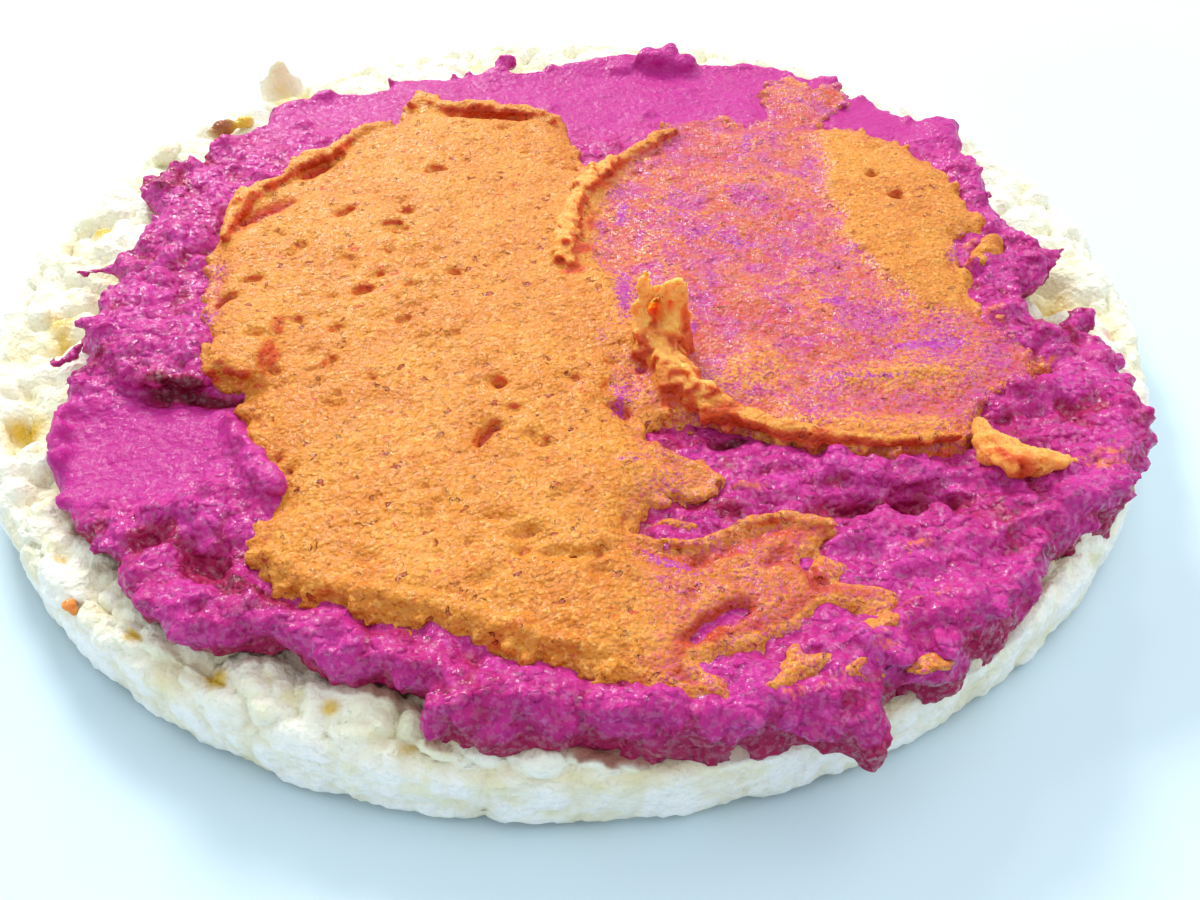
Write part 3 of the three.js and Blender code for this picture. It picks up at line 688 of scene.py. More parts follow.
def normals_of(piece):
    """The outward direction at each of the piece's points."""
    flat_list = np.empty(3 * len(piece.data.vertices), np.float32)
    piece.data.vertices.foreach_get("normal", flat_list)
    return flat_list.reshape(-1, 3).astype(float)


def push_out(piece, distance):
    """Moves every point along its normal by a distance in mm, given points and normals."""
    points = points_of(piece)
    normal = normals_of(piece)
    moved = points + normal * distance(points, normal)[:, None]
    piece.data.vertices.foreach_set("co", (moved * MM).astype(np.float32).ravel())
    piece.data.update()


def thin_out(piece, hidden, limit=185000):
    """Brings the piece under a number of triangles, mostly where it is hidden."""
    piece.data.calc_loop_triangles()
    count = len(piece.data.loop_triangles)
    if count <= limit:
        return
    group = piece.vertex_groups.new(name="hidden")
    for weight, chosen in ((1.0, hidden), (0.06, ~hidden)):
        group.add(np.flatnonzero(chosen).tolist(), weight, "REPLACE")
    fewer = piece.modifiers.new("fewer", "DECIMATE")
    fewer.ratio = limit / count
    fewer.vertex_group = "hidden"
    fewer.vertex_group_factor = 1.0
    settle(piece)
    piece.vertex_groups.clear()


# The orange's edge in plan, which the pink's top also follows.
ORANGE_EDGE = [
    (-14.0, 26.6), (-13.2, 25.0), (-11.4, 24.0), (-8.2, 24.0), (-6.8, 23.2), (-3.2, 23.0),
    (-0.9, 21.8), (0.1, 19.8), (0.3, 17.0), (1.3, 14.6), (1.7, 11.6), (3.4, 11.8), (5.2, 14.4),
    (7.0, 16.6), (9.0, 17.8), (10.0, 20.8), (15.6, 21.9), (16.2, 19.4), (19.4, 20.0), (19.8, 24.2),
    (20.4, 27.2), (22.4, 29.2), (24.9, 26.6), (26.9, 27.8), (28.0, 25.8), (27.7, 23.2),
    (25.9, 21.4), (24.4, 19.2), (25.6, 17.6), (28.8, 17.4), (31.0, 15.4), (32.6, 12.2), (34.0, 9.6),
    (34.2, 5.0), (35.0, 1.6), (32.4, -0.6), (31.6, -6.4), (31.4, -9.6), (32.8, -13.0),
    (34.4, -16.6), (31.0, -19.4), (27.8, -22.0), (26.4, -25.2), (20.0, -25.4), (15.6, -24.7),
    (11.4, -22.8), (8.8, -21.6), (6.4, -21.4), (4.4, -22.6), (5.8, -25.0), (8.2, -26.2),
    (9.5, -27.8), (8.2, -29.0), (6.6, -28.9), (4.6, -30.2), (3.6, -32.4), (5.4, -33.5),
    (7.4, -33.6), (10.3, -32.5), (12.1, -31.6), (13.8, -31.2), (15.1, -31.7), (16.7, -32.0),
    (15.7, -32.8), (14.6, -33.9), (14.0, -34.9), (15.1, -34.7), (17.0, -35.7), (15.8, -36.5),
    (18.9, -37.3), (18.0, -38.7), (16.3, -38.9), (14.9, -38.4), (14.2, -38.9), (13.2, -39.6),
    (12.7, -40.2), (11.1, -40.4), (10.2, -40.9), (8.5, -41.2), (6.7, -41.8), (6.7, -42.5),
    (7.5, -43.1), (8.4, -44.1), (7.7, -44.5), (5.5, -44.0), (4.0, -43.3), (2.6, -42.5),
    (-0.4, -42.1), (-3.0, -41.0), (-6.6, -39.4), (-10.5, -38.0), (-15.5, -36.3), (-18.0, -35.2),
    (-19.8, -33.0), (-19.9, -30.5), (-18.6, -29.6), (-19.9, -26.5), (-21.2, -23.5), (-22.9, -20.0),
    (-22.6, -18.6), (-22.2, -18.0), (-24.0, -17.4), (-25.8, -16.8), (-26.6, -15.4), (-25.6, -13.2),
    (-27.4, -10.4), (-28.2, -7.0), (-29.0, -3.0), (-29.3, -0.4), (-28.9, 2.8), (-28.6, 5.6),
    (-28.1, 8.2), (-26.8, 8.7), (-25.6, 9.4), (-25.4, 10.8), (-24.2, 13.2), (-22.5, 13.9),
    (-21.3, 14.2), (-21.0, 16.4), (-20.6, 18.6), (-17.6, 20.2), (-15.9, 21.0), (-15.7, 23.5),
]
# Scraps of orange that the knife left on the pink just past the edge.
ORANGE_WISPS = [
    [(12.7, -41.0), (12.9, -41.8), (14.8, -42.2), (13.5, -42.8), (12.2, -43.2), (11.4, -44.0),
     (10.1, -44.2), (10.6, -43.4), (11.3, -42.7), (12.0, -41.2)],
    [(15.4, -40.8), (16.7, -39.7), (18.8, -39.4), (17.8, -40.6), (16.2, -41.2)],
    [(14.6, -43.4), (15.3, -42.6), (16.3, -42.2), (16.0, -43.0), (15.3, -43.5)],
    [(19.3, -42.3), (20.4, -41.4), (20.4, -42.2)],
    [(5.1, -30.9), (5.7, -30.7), (6.6, -31.1), (8.0, -31.5), (7.2, -31.7), (6.0, -31.5)],
    [(32.8, -3.6), (34.8, -0.8), (36.2, -1.5), (34.8, -3.6), (33.2, -5.0)],
    [(33.6, 0.8), (35.4, 1.2), (35.2, 2.6), (33.8, 2.4)],
    [(24.6, -15.2), (29.4, -16.0), (32.8, -16.6), (29.0, -17.6), (25.0, -16.4)],
]
# Bare places inside the orange, down to the pink.
ORANGE_HOLES = [
    [(5.9, -40.6), (6.9, -39.6), (8.6, -38.5), (10.3, -38.2), (9.9, -39.0), (8.4, -39.6), (7.0, -40.6)],
    [(13.5, -34.8), (14.0, -34.9), (14.6, -36.1), (14.8, -37.2), (14.1, -37.0), (13.7, -36.0)],
]
# Places where the orange is wiped off to a film of pink: middle, turn, half sizes and strength.
BARE_PLACES = [
    ((4.2, -8.2), 86, (3.6, 0.8), 1.0), ((8.9, -12.4), 60, (1.3, 0.6), 1.0),
    ((4.7, 4.0), 80, (2.0, 0.7), 0.9), ((13.9, -0.2), -24, (2.6, 0.9), 0.7),
    ((9.7, 4.3), 0, (1.4, 0.6), 0.6), ((20.6, -9.0), 0, (1.1, 0.6), 1.0),
    ((26.6, -14.6), 4, (3.6, 0.7), 1.0), ((32.3, -2.2), 60, (2.6, 0.8), 0.8),
    ((11.1, 1.4), 30, (1.4, 0.7), 0.5), ((18.5, 5.1), -30, (2.4, 0.8), 0.4),
    ((16.6, 15.0), 70, (2.6, 0.9), 0.6), ((28.0, -13.0), 0, (2.6, 0.5), 0.7),
    ((21.0, -18.2), 2, (3.4, 0.35), 0.7), ((24.6, -11.6), -10, (2.0, 0.5), 0.5),
    ((2.6, -13.2), 70, (1.6, 0.7), 0.4), ((3.4, -20.2), 75, (2.2, 0.6), 0.7),
    ((0.4, -19.0), 60, (1.0, 0.5), 0.4), ((5.6, -35.0), -28, (2.0, 0.5), 0.75),
    ((-27.4, -11.6), 75, (2.6, 0.8), 0.6), ((3.6, -26.4), 20, (1.6, 0.5), 0.5),
    ((1.4, -28.6), 10, (1.2, 0.4), 0.4),
]
ORANGE_LINE = closed_curve(ORANGE_EDGE, 2)
PINK_LINE = closed_curve(PINK_EDGE, 3)


def pink_edge_depth(x, y):
    ragged = 0.55 * crumble(flat(x, y), 1.8, 3, 55).reshape(x.shape)
    return depth_inside(x, y, PINK_LINE) + ragged - 0.3


def build_pink():
    rng = np.random.default_rng(5)
    shoulder = 1.3

    def top(x, y):
        rise = np.clip(pink_edge_depth(x, y) / shoulder, 0, 1)
        rounded = np.sqrt(1 - (1 - rise) ** 2)
        base = 6.9 - 1.0 * ease(np.hypot(x, y), 44.4, 46.6)
        return base + (pink_top(x, y) - base) * rounded

    def bottom(x, y):
        uneven = 0.35 * crumble(flat(x, y), 2.2, 3, 57).reshape(x.shape)
        return 6.4 + uneven - 1.4 * ease(np.hypot(x, y), 44.2, 46.4)

    parts = [paste_sheet((-42, 45), (-49, 38), top, bottom, lambda x, y: pink_edge_depth(x, y) > 0.02)]
    # Crumbs of paste along the edge, thickest at the front and on the right.
    along = closed_curve(PINK_EDGE, 12)
    onward = np.roll(along, -1, 0) - along
    inward = np.stack([-onward[:, 1], onward[:, 0]], 1)
    inward /= np.linalg.norm(inward, axis=1)[:, None] + 1e-9
    for n in rng.permutation(len(along)):
        x, y = along[n]
        crumbly = 0.4 + 0.6 * ease(-y, -6, 16) if x < 20 else 0.85
        if rng.random() > 0.55 * crumbly:
            continue
        size = rng.uniform(0.35, 0.9) * (0.7 + 0.5 * crumbly)
        step = size * rng.uniform(0.8, 1.1) + rng.uniform(0, 0.8)
        z = rng.uniform(7.2, 8.9) if y < 5 else rng.uniform(7.4, 9.0)
        half = size * rng.uniform(0.7, 1.2, 3)
        middle = (x + inward[n, 0] * step, y + inward[n, 1] * step, z)
        parts.append(lump(middle, half, rng.uniform(0, 180), 0, n))
    # Crumbs over the rough parts of the top.
    x, y = rng.uniform(-38, 42, 3000), rng.uniform(-46, 34, 3000)
    open_top = (depth_inside(x, y, PINK_LINE) > 1.0) & (depth_inside(x, y, ORANGE_LINE) < -0.9)
    kept = np.flatnonzero(open_top & (rng.random(3000) < roughness_of_pink(x, y) ** 2))[:420]
    for x, y, z in zip(x[kept], y[kept], pink_top(x[kept], y[kept])):
        size = rng.uniform(0.35, 1.0)
        half = size * np.array([rng.uniform(0.9, 1.7), rng.uniform(0.6, 1.1), rng.uniform(0.5, 0.9)])
        turn = rng.normal(15, 40)
        parts.append(lump((x, y, z - 0.25 * size), half, turn, rng.normal(0, 12), len(parts)))
    for at, half, turn, lean in PINK_SHREDS:
        parts.append(lump(at, half, turn, lean, len(parts), 0.25))
    for string in PINK_STRINGS:
        for x, y, size in route_of(string, 0.25):
            parts.append(lump((x, y, 7.0 + 0.6 * size), np.full(3, size), 0, 0, len(parts)))
    piece = fuse("pink_paste_layer", parts, 0.29)

    def crumb_depth(points):
        big, _ = grains(points + 0.5 * roll(points, 1.6, 72)[:, None], 3.1, 73)
        middle, _ = grains(points, 1.5, 74)
        small, crease = grains(points, 0.8, 75)
        creased = 0.07 * np.exp(-((crease / 0.15) ** 2))
        return 0.75 * big**2 + 0.42 * middle**2 + 0.2 * small**2 + creased - 0.26

    def crumbs(points, normal):
        rough = roughness_of_pink(points[:, 0], points[:, 1])
        pits = np.maximum(0, crumble(points, 1.0, 2, 77) - 0.25)
        under_orange = depth_inside(points[:, 0], points[:, 1], ORANGE_LINE)
        covered = ease(under_orange, 0.2, 1.2) * ease(points[:, 2], 7, 8)
        torn = -rough * (1.1 * crumb_depth(points) + 0.5 * pits) + 0.03 * crumble(points, 0.8, 2, 79)
        return torn * (1 - covered) - 0.2 * covered

    push_out(piece, crumbs)
    points = points_of(piece)
    thin_out(piece, (points[:, 2] < 6.75) & (np.hypot(points[:, 0], points[:, 1]) < 44))
    points = points_of(piece)
    x, y, z = points.T
    rough = roughness_of_pink(x, y)
    # Painted shade: the paste is darkened in its crevices and grooves, in the listed undercuts and at the
    # foot of its front wall.
    sunk = np.clip(-ridge_rise(x, y, PINK_RIDGES), 0, 1.5) + 0.5 * np.clip(pink_top(x, y) - z - 0.3, 0, 2)
    mark(piece, "orange_film", orange_film(points))
    skirt = 0.7 * ease(-z, -7.6, -6.4) * ease(-y, 24, 32)
    crumbly = rough * (1.6 * crumb_depth(points) + 0.1)
    mark(piece, "fold_shade", crumbly + 0.5 * sunk + ridge_rise(x, y, FOLD_SHADE_PLACES) + skirt)
    mark(piece, "rough", rough)
    mark(piece, "cleft_shade", ridge_rise(x, y, CLEFT_SHADE_PLACES))
    return piece


# Lumps and shreds that stand out past the edge: middle, half sizes, turn and lean.
PINK_SHREDS = [
    ((10.2, 33.2, 9.3), (2.8, 1.8, 1.5), 0, 0), ((8.8, 33.4, 10.0), (1.5, 1.2, 1.0), 20, 0),
    ((11.2, 33.8, 10.2), (1.2, 1.2, 1.0), 50, 0), ((12.6, 32.4, 9.6), (1.4, 1.2, 1.0), 20, 0),
    ((9.8, 32.2, 10.4), (0.9, 0.8, 0.7), 0, 0), ((6.0, 33.2, 8.9), (1.9, 1.6, 0.9), 20, 0),
    ((38.5, -4.2, 8.8), (3.0, 1.3, 0.7), 46, -8), ((40.1, -2.7, 9.0), (1.8, 0.7, 0.5), 42, -12),
    ((39.7, -10.6, 8.2), (2.5, 0.85, 0.6), 68, -5), ((39.0, -13.0, 8.3), (1.6, 1.3, 0.8), 60, 0),
    ((-31.4, -16.5, 9.8), (1.1, 0.8, 0.7), 0, 0), ((-29.2, -17.3, 9.9), (1.2, 0.8, 0.65), 0, 0),
    ((-26.9, -17.6, 9.9), (1.1, 0.7, 0.6), 0, 0), ((-34.0, -14.6, 9.2), (2.0, 1.4, 0.9), -20, 0),
    ((-31.6, -15.6, 9.6), (2.0, 1.5, 0.95), -20, 0), ((-29.2, -16.2, 9.9), (1.8, 1.5, 0.9), -8, 0),
    ((-27.2, -16.2, 10.0), (1.6, 1.4, 0.9), 0, 0), ((-30.4, -17.0, 9.7), (1.0, 0.9, 0.7), 30, 0),
    ((-27.8, -17.2, 9.8), (1.0, 0.8, 0.6), 10, 0), ((14.6, -44.6, 7.6), (2.8, 1.8, 1.5), 20, 0),
    ((15.9, -45.6, 6.6), (1.5, 1.3, 1.8), 15, 0), ((16.3, -46.1, 5.7), (0.95, 0.9, 1.4), 15, 0),
    ((16.6, -46.3, 5.0), (0.55, 0.6, 0.9), 15, 0), ((-38.0, 12.4, 8.4), (1.2, 1.6, 0.8), 10, 0),
    ((-38.6, -0.3, 7.7), (1.5, 0.5, 0.45), 10, 0), ((40.0, -24.0, 8.0), (1.0, 0.6, 0.5), 20, 0),
    ((-6.2, 34.8, 9.0), (1.4, 1.0, 1.0), 0, 0), ((-23.4, -21.4, 9.2), (1.3, 0.6, 0.7), -58, 0),
    ((-22.4, -23.3, 9.5), (1.6, 0.8, 0.8), -58, 0), ((-21.2, -25.2, 9.7), (1.9, 1.1, 0.9), -55, 0),
    ((-20.1, -26.9, 9.9), (1.8, 1.3, 0.9), -50, 0), ((-19.2, -27.9, 10.0), (1.2, 1.0, 0.8), -50, 0),
    ((-33.0, 17.7, 8.8), (1.3, 1.1, 0.9), 20, 0), ((-37.4, 10.9, 8.6), (1.3, 1.1, 0.9), 20, 0),
    ((36.2, 18.0, 9.2), (1.8, 2.2, 1.1), 10, 0),
]

# Strings of paste pulled off over the puffs at the left: route in plan with radius.
PINK_STRINGS = [
    [(-37.4, 1.4, 0.5), (-38.6, 1.0, 0.42), (-39.2, 0.5, 0.36), (-39.9, 0.7, 0.34),
     (-40.4, -0.1, 0.36), (-41.2, 0.3, 0.34)],
    [(-36.6, -7.6, 0.6), (-37.5, -8.5, 0.42), (-38.0, -9.6, 0.34), (-38.4, -11.2, 0.34),
     (-39.0, -12.0, 0.38), (-39.8, -11.7, 0.36), (-39.5, -10.8, 0.32)],
    [(-36.2, -12.6, 0.5), (-37.2, -13.4, 0.4), (-37.8, -14.4, 0.36)],
]

# Undercuts and folds painted dark crimson as shade: middle, turn, half length and width, strength.
FOLD_SHADE_PLACES = [
    ((-26.2, -18.0), -14, (4.2, 0.5), 1.2), ((-26.4, -31.2), 20, (1.5, 1.1), 0.9),
    ((-23.0, -33.6), -30, (1.4, 0.9), 1.0), ((20.6, -30.2), 2, (5.4, 0.7), 0.8),
    ((7.4, -29.6), -12, (3.2, 0.5), 0.9), ((-20.6, -35.4), -24, (3.0, 0.5), 1.0),
    ((-0.5, -46.6), -3, (9.0, 0.8), 0.9),
]

# Clefts so deep that they are painted nearly black as shade: middle, turn, half length and width, strength.
CLEFT_SHADE_PLACES = [
    ((-26.0, -18.1), -12, (4.4, 0.45), 1.2), ((20.2, -30.6), 1, (4.8, 0.5), 1.0),
    ((-23.2, -33.4), -30, (0.8, 0.5), 0.7), ((10.9, -23.6), 8, (1.4, 0.6), 1.0),
    ((-19.4, -35.6), -24, (2.4, 0.35), 0.8), ((28.6, -35.0), 40, (1.6, 0.4), 0.7),
    ((33.8, -27.8), 20, (1.0, 0.4), 0.6), ((29.6, -30.8), 60, (0.9, 0.4), 0.6),
    ((30.4, -2.8), 20, (0.6, 0.4), 0.5),
]

# Thin smears of orange left on the pink: middle, turn, half length and width, strength.
ORANGE_SMEARS = [
    ((34.0, -1.6), 20, (2.2, 1.3), 1.0), ((33.4, -3.8), 35, (1.8, 0.5), 1.0),
    ((33.0, -16.6), 8, (4.2, 1.0), 0.9), ((36.0, -28.0), 8, (2.6, 0.8), 0.8),
    ((34.6, -27.2), 15, (2.4, 0.7), 0.7), ((20.0, -34.6), 15, (2.4, 0.9), 0.8),
    ((20.6, -38.6), 15, (2.6, 0.6), 0.7), ((17.6, -41.4), 25, (2.4, 0.7), 0.7),
    ((23.4, -42.0), 20, (1.0, 0.5), 0.6), ((13.0, -43.8), 15, (2.6, 0.6), 0.8),
    ((27.0, -19.6), 6, (5.0, 1.1), 0.9), ((24.0, -13.6), 4, (5.0, 1.2), 0.6),
    ((6.2, -31.0), 5, (1.8, 0.35), 0.9), ((10.6, -28.6), 5, (2.6, 0.5), 0.8),
    ((31.6, -12.0), 10, (2.6, 1.0), 0.8),
    ((33.2, -10.4), 8, (2.0, 0.5), 0.7), ((31.8, -6.0), 80, (2.4, 0.8), 0.6),
]


def orange_film(points):
    x, y = points[:, 0], points[:, 1]
    return ridge_rise(x, y, ORANGE_SMEARS) * (0.75 + 0.5 * crumble(points, 1.2, 3, 83))


def pink_paste_finish():
    """Deep pink, lighter where it is swept thin and smooth, with painted shade darker in the folds,
    undercuts and clefts.
    """
    f = Finish("pink_paste")
    body = f.mix((195, 46, 142), (184, 32, 120), f.between(f.noise(4.0, 3), 0.35, 0.7))
    body = f.mix(body, (205, 74, 163), f.between(f.noise(0.6, 2), 0.53, 0.75, 0, 0.7))
    body = f.mix(body, (182, 30, 132), f.between(f.marked("rough"), 0.6, 0.15, 0, 0.75))
    # Painted shade: dark crimson in crevices, grooves, undercuts and at the foot of the front wall, near
    # black in the clefts.
    folded = f.mix(body, (156, 16, 66), f.between(f.marked("fold_shade"), 0.42, 1.05, 0, 0.9))
    folded = f.mix(folded, (98, 6, 32), f.between(f.marked("cleft_shade"), 0.25, 0.9, 0, 0.9))
    film = f.sum(f.marked("orange_film"), f.between(f.noise(0.5, 2), 0.3, 0.8, -0.35, 0.35))
    tinted = f.mix(folded, (222, 116, 72), f.between(film, 0.3, 0.9, 0, 0.9))
    f.colour(tinted)
    f.roughness(f.between(f.noise(0.5, 1), 0.3, 0.7, 0.35, 0.6))
    f.set(Subsurface_Weight=0.2, Subsurface_Radius=(1.0, 0.2, 0.4), Subsurface_Scale=0.6 * MM,
          Specular_IOR_Level=0.18, Coat_Roughness=0.12)
    f.wet_glints(0.5, f.sum(f.times(f.marked("rough"), 0.8), 0.2), 0.17)
    streaks = f.noise(0.5, 2, place=f.stretched((0.16, 1, 1), 24))
    knobs = f.between(f.cells(0.7, place=f.ragged(0.8, 0.6)), 0.05, 0.75, 1, 0)
    knobs = f.times(knobs, f.sum(f.marked("rough"), 0.1))
    f.bumps((streaks, 0.05), (knobs, 0.2), (f.noise(0.45, 2, 0.65), 0.14))
    return f.material


def wet_and_shade_puffs(piece):
    """Marks the puffs along the paste's edge: wetted brown by it, and darkened with a painted shadow under
    its edge.
    """
    x, y, z = points_of(piece).T
    reach = depth_inside(x, y, PINK_LINE) + 0.5 * crumble(flat(x, y), 2.6, 3, 58)
    patchy = 0.6 + 0.7 * crumble(flat(x, y), 4.0, 2, 59)
    mark(piece, "brown_and_shadow", ease(reach, -0.3, 0.1) * ease(z, 4.4, 5.4) * patchy)


wet_and_shade_puffs(rice)
pink = build_pink()
pink.data.materials.append(pink_paste_finish())
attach(pink, "root")
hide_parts("pink_spread")


# The orange spread.
# A firmer, grainy paste wiped over the pink in two broad swaths: full and pitted on the left,
# scraped thin on the right, with rolled edges and one flap that the knife pulled up on end.

ORANGE_THICK = 1.0
# How ragged the lumps are that its rolls, crumbs and flap are made of.
TORN = 0.35

# Rolled ridges: route in plan with radius, and how high their middle is above the pink.
ORANGE_ROLLS = [
    ([(6.6, -16.4, 1.2), (7.2, -18.2, 1.35), (8.4, -20.0, 1.35), (10.3, -21.3, 1.1),
      (12.8, -22.9, 0.95), (15.3, -24.2, 0.8), (18.6, -24.8, 0.55), (21.9, -25.3, 0.5),
      (25.9, -25.0, 0.4)], 1.05),
    ([(6.6, -16.6, 1.3), (7.4, -18.4, 1.3), (8.8, -20.2, 1.0)], 1.7),
    ([(10.4, 18.0, 0.5), (8.8, 16.8, 0.65), (7.0, 14.9, 0.7), (5.2, 12.8, 0.75),
      (3.9, 10.8, 0.8)], 0.75),
    ([(4.4, 11.8, 0.6), (3.5, 10.4, 0.9), (2.1, 8.2, 1.0), (0.9, 5.4, 0.9), (0.2, 2.4, 0.95),
      (-0.4, -0.6, 1.05), (-0.3, -3.0, 0.85), (0.3, -4.2, 0.5)], 1.4),
    ([(-15.0, 23.6, 0.5), (-13.8, 24.9, 0.8), (-12.0, 23.2, 0.7), (-9.0, 22.8, 0.8),
      (-6.0, 22.5, 0.85), (-3.2, 22.0, 0.7), (-1.2, 20.6, 0.5)], 1.0),
    ([(-16.6, 19.6, 0.35), (-18.8, 18.4, 0.55), (-20.4, 16.2, 0.45), (-21.2, 14.0, 0.75),
      (-22.9, 13.1, 0.95), (-24.2, 12.0, 0.8), (-25.0, 10.0, 0.35), (-26.0, 8.6, 0.7),
      (-27.3, 7.2, 1.05), (-27.9, 5.2, 0.95), (-28.1, 2.8, 0.65), (-28.3, 0.2, 0.4)], 1.15),
    ([(-26.4, -14.6, 0.4), (-24.8, -16.1, 0.6), (-23.0, -17.5, 0.5)], 0.5),
    ([(-19.0, -33.4, 0.5), (-15.6, -35.4, 0.65), (-10.6, -37.0, 0.55), (-5.4, -38.8, 0.75),
      (-2.4, -40.2, 0.8), (1.4, -41.2, 0.5)], 0.65),
    ([(3.6, -32.8, 0.3), (5.8, -33.5, 0.35), (7.8, -33.5, 0.4), (11.0, -32.0, 0.5),
      (13.6, -31.6, 0.55), (16.0, -32.1, 0.45)], 0.5),
    ([(4.6, -25.0, 0.35), (6.6, -25.6, 0.4), (8.8, -27.2, 0.4)], 0.4),
    ([(16.4, -17.2, 0.2), (18.4, -16.8, 0.3), (20.7, -16.6, 0.3), (22.6, -16.2, 0.2)], 0.35),
    ([(19.4, -19.6, 0.2), (22.0, -19.4, 0.26), (25.0, -20.2, 0.26), (27.8, -19.6, 0.2)], 0.3),
    ([(24.8, -15.6, 0.25), (28.4, -16.4, 0.35), (31.8, -16.8, 0.25)], 0.3),
]
# The flap's columns: foot and tip with their radius, and how far the column is flattened.
FLAP_COLUMNS = [
    ((5.5, -14.6, 9.7, 1.2), (5.25, -13.2, 15.3, 0.5), 0.75),
    ((6.4, -13.9, 9.8, 0.8), (6.2, -13.3, 13.9, 0.5), 0.55),
    ((7.2, -14.2, 9.8, 0.9), (6.9, -13.5, 14.6, 0.6), 0.7),
    ((8.2, -14.7, 9.7, 1.0), (7.8, -13.6, 14.6, 0.75), 0.9),
    ((5.5, -15.8, 9.8, 1.1), (5.7, -14.8, 12.2, 0.7), 0.8),
    ((7.6, -16.2, 9.8, 1.2), (7.4, -15.0, 11.9, 0.8), 0.8),
]
# The flap's hollows as the viewer sees them, dented and painted deep red-orange as shade: middle across and
# up, turn, half sizes and strength.
FLAP_HOLLOWS = [
    ((6.15, 12.7), 82, (1.0, 0.4), 1.0), ((7.2, 13.2), 80, (0.5, 0.28), 0.7),
    ((8.5, 12.0), 86, (1.5, 0.5), 0.8), ((6.9, 11.0), 30, (1.1, 0.6), 0.9),
]
# Pits in the orange: middle in plan and reach.
ORANGE_PITS = [
    ((-20.9, -10.8), 0.6), ((-17.5, -15.5), 0.55), ((-11.5, 10.8), 0.55), ((-21.9, -1.4), 0.6),
    ((-23.6, 0.7), 0.5), ((-16.5, -2.9), 0.4), ((-15.8, -7.1), 0.6), ((-15.0, -5.2), 0.5),
    ((-14.9, 1.9), 0.6), ((-13.9, 1.1), 0.6), ((-10.8, -2.1), 0.5), ((-9.0, -4.7), 0.5),
    ((-11.6, -9.4), 0.5), ((-12.6, -10.9), 0.5), ((-14.4, -10.6), 0.4), ((-19.1, -14.1), 0.5),
    ((-16.5, -19.8), 0.6), ((-9.7, -16.2), 0.6), ((-21.3, -16.5), 0.5), ((-18.9, 4.3), 0.9),
    ((-14.4, 5.1), 0.5), ((-17.7, -2.7), 0.4), ((-14.1, -1.9), 0.5), ((-16.8, 12.8), 0.5),
    ((-11.0, 14.0), 0.4), ((-13.9, 11.1), 0.5), ((-26.6, -7.8), 0.8), ((-25.0, -5.4), 0.6),
    ((-14.2, -17.5), 0.4), ((-8.5, -29.7), 0.5), ((-5.1, -18.2), 0.6), ((-3.9, -21.2), 0.5),
    ((-2.2, -24.2), 0.6), ((0.1, -17.9), 0.6), ((2.7, -16.4), 0.5), ((-5.7, -23.3), 0.9),
    ((-9.9, -28.1), 0.5), ((-12.6, -29.1), 0.5), ((-12.0, -34.2), 0.4), ((-0.9, -30.0), 0.6),
    ((3.3, -21.1), 0.8), ((2.4, -19.0), 0.6), ((2.0, -34.4), 0.8), ((-3.6, -33.0), 0.4),
    ((9.4, -12.4), 0.5), ((27.6, 8.8), 0.6), ((28.8, 5.4), 0.6), ((27.0, 12.0), 0.4),
    ((30.0, 2.6), 0.5), ((5.0, -16.7), 0.6),
]
# Hollows and undersides painted deep red-orange as shade: middle, turn, half sizes, strength.
# The first three are trenches behind a rolled edge, and their floor lies lower.
SHADED_HOLLOWS = [
    ((-7.6, 21.4), -6, (4.4, 0.7), 1.2), ((-22.6, 11.4), 45, (1.7, 0.8), 1.2),
    ((-25.6, 4.6), 44, (3.2, 0.9), 1.2), ((-27.2, -1.0), 4, (2.0, 0.6), 0.6),
    ((3.6, 8.6), 60, (1.8, 0.8), 0.8), ((1.9, 2.4), 75, (2.2, 0.7), 0.9),
    ((1.2, -2.0), 60, (1.5, 0.8), 1.0), ((0.4, -4.9), 20, (1.4, 0.7), 1.0),
    ((7.0, -16.4), 80, (2.4, 1.8), 0.7), ((7.2, -19.2), 60, (2.2, 1.2), 0.9),
    ((25.4, -4.4), 60, (0.8, 0.5), 0.5), ((9.4, -40.2), 10, (3.0, 0.5), 0.8),
    ((10.2, -22.2), 20, (2.4, 0.9), 0.9), ((15.4, -25.0), 10, (3.4, 0.6), 0.8),
    ((23.2, -25.9), 0, (3.2, 0.6), 0.9), ((27.9, 15.0), 85, (1.0, 0.4), 0.8),
    ((26.6, 25.6), 60, (1.0, 0.8), 0.7), ((14.4, -32.8), 5, (2.6, 0.6), 0.7),
    ((-4.6, -40.3), 20, (2.4, 0.6), 0.6), ((4.6, -17.4), 75, (2.8, 1.4), 0.4),
    ((-17.3, -1.6), 30, (0.6, 0.35), 0.8), ((-15.8, -3.1), 20, (0.5, 0.3), 0.8),
    ((-16.0, -6.1), 40, (0.7, 0.4), 0.7), ((-14.3, -6.9), 40, (1.0, 0.3), 0.7),
    ((-13.7, -5.1), 30, (0.6, 0.3), 0.8), ((-16.2, -9.4), 30, (0.6, 0.35), 0.7),
    ((-6.0, 6.4), 20, (0.8, 0.4), 0.7), ((-4.6, 8.2), 30, (0.6, 0.3), 0.7),
    ((-19.0, 3.9), 10, (1.2, 0.6), 0.6), ((-27.0, 1.6), 20, (1.4, 0.7), 0.6),
    ((-15.6, -37.0), 30, (2.0, 0.6), 0.6), ((-19.0, -29.6), 0, (0.8, 0.8), 0.7),
]


